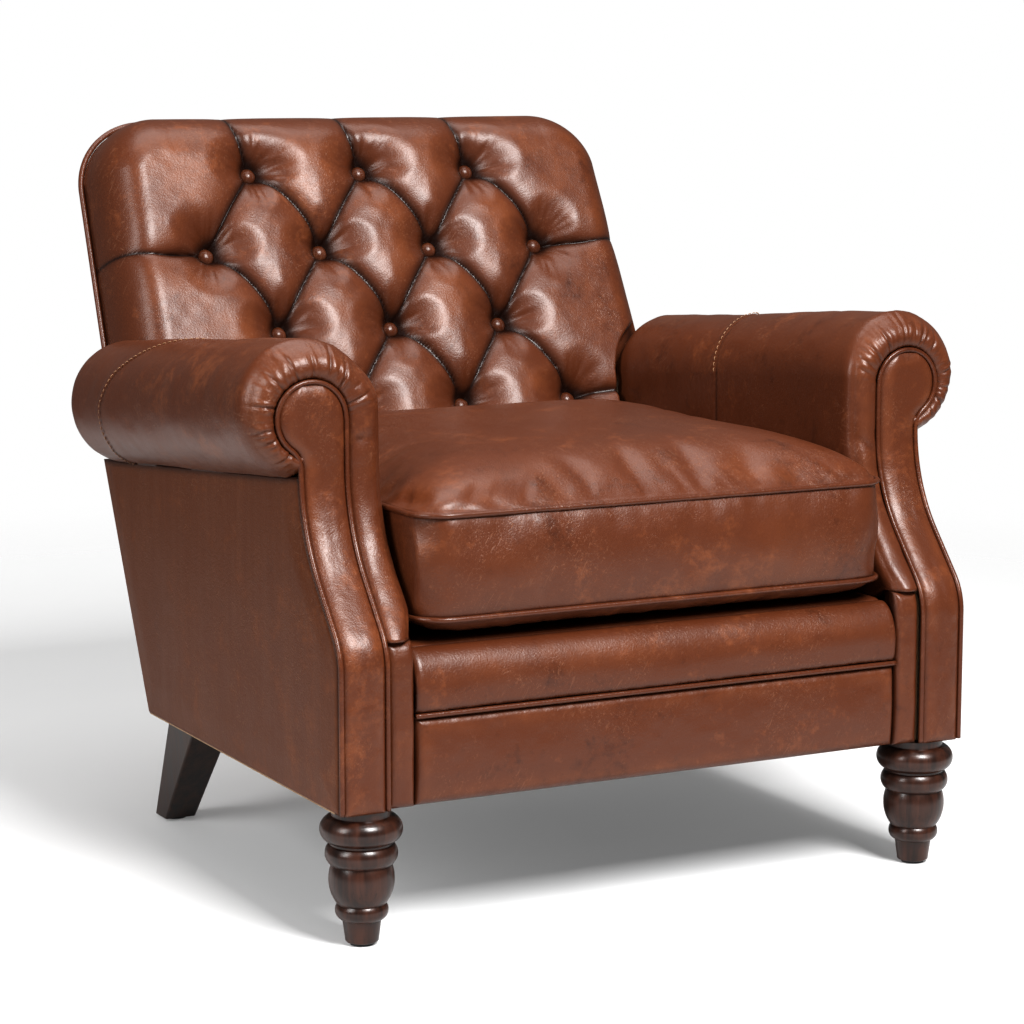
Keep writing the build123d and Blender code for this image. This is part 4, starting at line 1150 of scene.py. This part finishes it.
def inflate(grid, pinned, frames, cap):
    """How far each point of a closed grid moves when blown up as cloth, softly limited to the cap."""
    rows, cols = grid.shape[:2]
    mesh = bpy.data.meshes.new("blown_cloth")
    mesh.from_pydata((grid.reshape(-1, 3) * MM).tolist(), [], grid_faces(rows, cols, wrap=True).tolist())
    obj = bpy.data.objects.new("blown_cloth", mesh)
    bpy.context.scene.collection.objects.link(obj)
    group = obj.vertex_groups.new(name="pin")
    group.add([int(i) for i in np.flatnonzero(pinned.ravel())], 1.0, "REPLACE")
    cloth = obj.modifiers.new("cloth", "CLOTH")
    cloth.settings.quality = 6
    cloth.settings.use_pressure = True
    cloth.settings.uniform_pressure_force = CLOTH_PRESSURE
    cloth.settings.vertex_group_mass = "pin"
    cloth.settings.tension_stiffness = cloth.settings.compression_stiffness = CLOTH_STIFF
    cloth.settings.bending_stiffness = CLOTH_BEND
    cloth.settings.shrink_min = cloth.settings.shrink_max = CLOTH_GROWTH
    cloth.settings.effector_weights.gravity = 0.0
    cloth.collision_settings.use_collision = False
    cloth.point_cache.frame_start, cloth.point_cache.frame_end = 1, frames
    for frame_number in range(1, frames + 1):
        bpy.context.scene.frame_set(frame_number)
    settled = obj.evaluated_get(bpy.context.evaluated_depsgraph_get())
    after = np.empty(rows * cols * 3)
    settled.data.vertices.foreach_get("co", after)
    bpy.data.objects.remove(obj)
    bpy.data.meshes.remove(mesh)
    bpy.context.scene.frame_set(1)
    move = after.reshape(rows, cols, 3) / MM - grid
    for _ in range(SKIN_EASE):
        before, after_it = move[np.r_[0, 0:rows - 1]], move[np.r_[1:rows, rows - 1]]
        around = (np.roll(move, 1, 1) + np.roll(move, -1, 1) + before + after_it) / 4
        move = np.where(pinned[..., None], move, 0.5 * move + 0.5 * around)
    size = np.linalg.norm(move, axis=2, keepdims=True)
    return move * cap * np.tanh(size / cap) / np.maximum(size, 1e-6)


def finer(field, rows, cols):
    """A coarse looped field, read at every point of the fine grid it was thinned from."""
    at_rows = np.linspace(0, len(field) - 1, rows)
    low = np.minimum(at_rows.astype(int), len(field) - 2)
    part = (at_rows - low)[:, None, None]
    field = field[low] * (1 - part) + field[low + 1] * part
    field = np.concatenate([field, field[:, :1]], axis=1)
    at_cols = np.arange(cols) * (field.shape[1] - 1) / cols
    low = at_cols.astype(int)
    part = (at_cols - low)[None, :, None]
    return field[:, low] * (1 - part) + field[:, low + 1] * part


def from_seams(z):
    """Height from the nearer of the cushion's two seams."""
    return np.minimum(np.abs(z - CUSHION_SEAM_LOW), np.abs(z - CUSHION_SEAM_HIGH))


def build_cushion():
    """Loose seat cushion: panels swell between its two seams, which stay where the cords are."""
    grid = cushion_shell()
    rows, cols = grid.shape[:2]
    z = grid[..., 2]
    near_seam = from_seams(z)
    middle = grid[..., :2].mean(axis=1, keepdims=True)
    outward = ramp01(np.linalg.norm(grid[..., :2] - middle, axis=2) / POLE_EASE)
    coarse = grid[::2, ::2]
    held = (from_seams(coarse[..., 2]) < 2.0) | (coarse[..., 2] < CUSHION_SEAM_LOW)
    move = finer(inflate(coarse, held, CLOTH_FRAMES, CLOTH_LIMIT), rows, cols)
    ring_mean = move.mean(axis=1, keepdims=True)
    move = ring_mean + (move - ring_mean) * outward[..., None]
    grid = grid + move * ramp01(near_seam / 6.0)[..., None]
    on_box = (z > CUSHION_SEAM_LOW + 0.5) & (z < CUSHION_SEAM_HIGH - 0.5)
    run = np.arange(cols)[None, :] * 4.0
    out = grid_normals(grid)
    if out[rows // 2, 0] @ (grid[rows // 2, 0] - grid.mean(axis=(0, 1))) < 0:
        out = -out
    height = np.clip((z - CUSHION_SEAM_LOW) / (CUSHION_SEAM_HIGH - CUSHION_SEAM_LOW), 0, 1)
    lift = np.where(on_box, 6.0 * np.sin(height * math.pi) ** 0.75, 0.0)
    gathers = value_noise(run / 9.0 + 0 * z, near_seam * 0 + 5, 700)
    gathers = gathers * np.exp(-((near_seam - 13.0) / 9.0) ** 2)
    waver = value_noise(run / 46.0 + 0 * z, z / 40, 701)
    lift += (0.9 * gathers + 0.9 * waver) * ramp01((near_seam - 3.0) / 8.0) * outward
    grid = grid + out * lift[..., None]
    grid[..., 0] = CUSHION_SHIFT + np.clip(grid[..., 0] - CUSHION_SHIFT, -CUSHION_X - 1.5, CUSHION_X + 1.5)
    grid[..., 1] = np.minimum(grid[..., 1], rear_y(grid[..., 2], PAD_W + 9.0))
    knee = CUSHION_Z1 + 3.0 - CROWN_EASE
    over = np.maximum(grid[..., 2] - knee, 0)
    crowned = np.minimum(grid[..., 2], knee) + CROWN_EASE * np.tanh(over / CROWN_EASE)
    grid[..., 2] = np.maximum(crowned, CUSHION_Z0 + 0.1)
    # painted shade by both seams; painted highlight and rubbed wear in a band behind the top seam, and
    # faintly lighter patches all over the boxing
    shade = -1.0 * np.exp(-near_seam / 3.0) + 0.7 * np.exp(-(((z - CUSHION_SEAM_HIGH - 16) / 16) ** 2))
    shade += 0.3 * on_box
    piece(
        "seat_cushion", grid, grid_faces(rows, cols, wrap=True), LEATHER, body="cushion",
        stands_for=("cushion_cover", "cushion_core"), shade=np.clip(shade, -1, 1),
    )
    for name, z in (("top", CUSHION_SEAM_HIGH), ("bottom", CUSHION_SEAM_LOW)):
        path = cushion_outline(z, 2.6, 5.0)
        p, f = tube(path, CORD + 0.3, 12, closed=True)
        piece(
            f"cushion_{name}_cord", p, f, CORD_LEATHER, body="cushion",
            stands_for=(f"cushion_piping_{name}",),
        )


def finish_cad_nodes():
    """Procedural finishes on the frame, springs and hardware that stay as CAD."""
    slots = {part["node"]: part["material_slot"] for part in frame["record"]["subparts"]}
    for name, obj in frame["nodes"].items():
        obj.data.materials.clear()
        obj.data.materials.append(FINISHES[slots[name]])


def build_stage():
    """Pale floor that fades into a white studio, soft lights and the camera."""
    g = Graph("studio_floor")
    tone = g.mix(g.noise(2.5, 3.0), (0.82, 0.82, 0.82, 1), (0.86, 0.86, 0.86, 1))
    g.finish(tone, 0.9, g.bump(g.noise(200.0), 0.0002, 0.1), Specular_IOR_Level=0.2)
    # painted light: near the chair the floor lets the white backdrop show partly through, lifting its
    # shadows; farther out it fades wholly into the backdrop
    away = g.add("VectorMath", {0: g.coords}, 1, operation="LENGTH")
    g.set(g.shader.inputs["Alpha"], g.add(
        "MapRange", {"Value": away, "From Min": FLOOR_FADE[0], "From Max": FLOOR_FADE[1],
                     "To Min": FLOOR_ALPHA, "To Max": 0.0},
        interpolation_type="SMOOTHSTEP"))
    mesh = bpy.data.meshes.new("floor")
    corners = [(x * FLOOR_HALF, y * FLOOR_HALF, 0) for x, y in ((-1, -1), (1, -1), (1, 1), (-1, 1))]
    mesh.from_pydata(corners, [], [(0, 1, 2, 3)])
    mesh.materials.append(g.material)
    floor = bpy.data.objects.new("floor", mesh)
    bpy.context.scene.collection.objects.link(floor)
    world = bpy.data.worlds.new("studio")
    world.use_nodes = True
    tree = world.node_tree
    backdrop = tree.nodes["Background"]
    backdrop.inputs["Color"].default_value = (1.0, 1.0, 1.0, 1)
    path = tree.nodes.new("ShaderNodeLightPath")
    level = tree.nodes.new("ShaderNodeMapRange")
    level.inputs["To Min"].default_value = WORLD_LIGHT
    level.inputs["To Max"].default_value = 1.0
    tree.links.new(path.outputs["Is Camera Ray"], level.inputs["Value"])
    tree.links.new(level.outputs[0], backdrop.inputs["Strength"])
    bpy.context.scene.world = world
    for name, place, size, power in LIGHTS:
        light = bpy.data.lights.new(name, "AREA")
        light.shape = "RECTANGLE"
        light.size, light.size_y = size
        light.energy = power
        lamp = bpy.data.objects.new(name, light)
        lamp.location = place
        lamp.rotation_euler = (Vector(LIGHTS_AIM) - Vector(place)).to_track_quat("-Z", "Y").to_euler()
        bpy.context.scene.collection.objects.link(lamp)
    camera = bpy.data.objects.new("camera", bpy.data.cameras.new("camera"))
    camera.data.sensor_width = 36.0
    camera.data.lens = CAMERA_LENS
    camera.location = CAMERA_PLACE
    azimuth, pitch = CAMERA_TURN
    level_x, level_y = math.sin(azimuth) * math.cos(pitch), math.cos(azimuth) * math.cos(pitch)
    look = Vector((level_x, level_y, -math.sin(pitch)))
    camera.rotation_euler = look.to_track_quat("-Z", "Y").to_euler()
    bpy.context.scene.collection.objects.link(camera)
    bpy.context.scene.camera = camera
    bpy.context.scene.view_settings.view_transform = "Standard"
    bpy.context.scene.view_settings.gamma = VIEW_GAMMA


finish_cad_nodes()
build_back()
build_buttons()
build_outside_back()
for arm_side, arm_name in ((1, "right"), (-1, "left")):
    build_arm(arm_side, arm_name)
    build_facing(arm_side, arm_name)
    build_side_panel(arm_side, arm_name)
    build_arm_board(arm_side, arm_name)
build_strips_and_borders()
build_deck()
build_cushion()
build_stage()
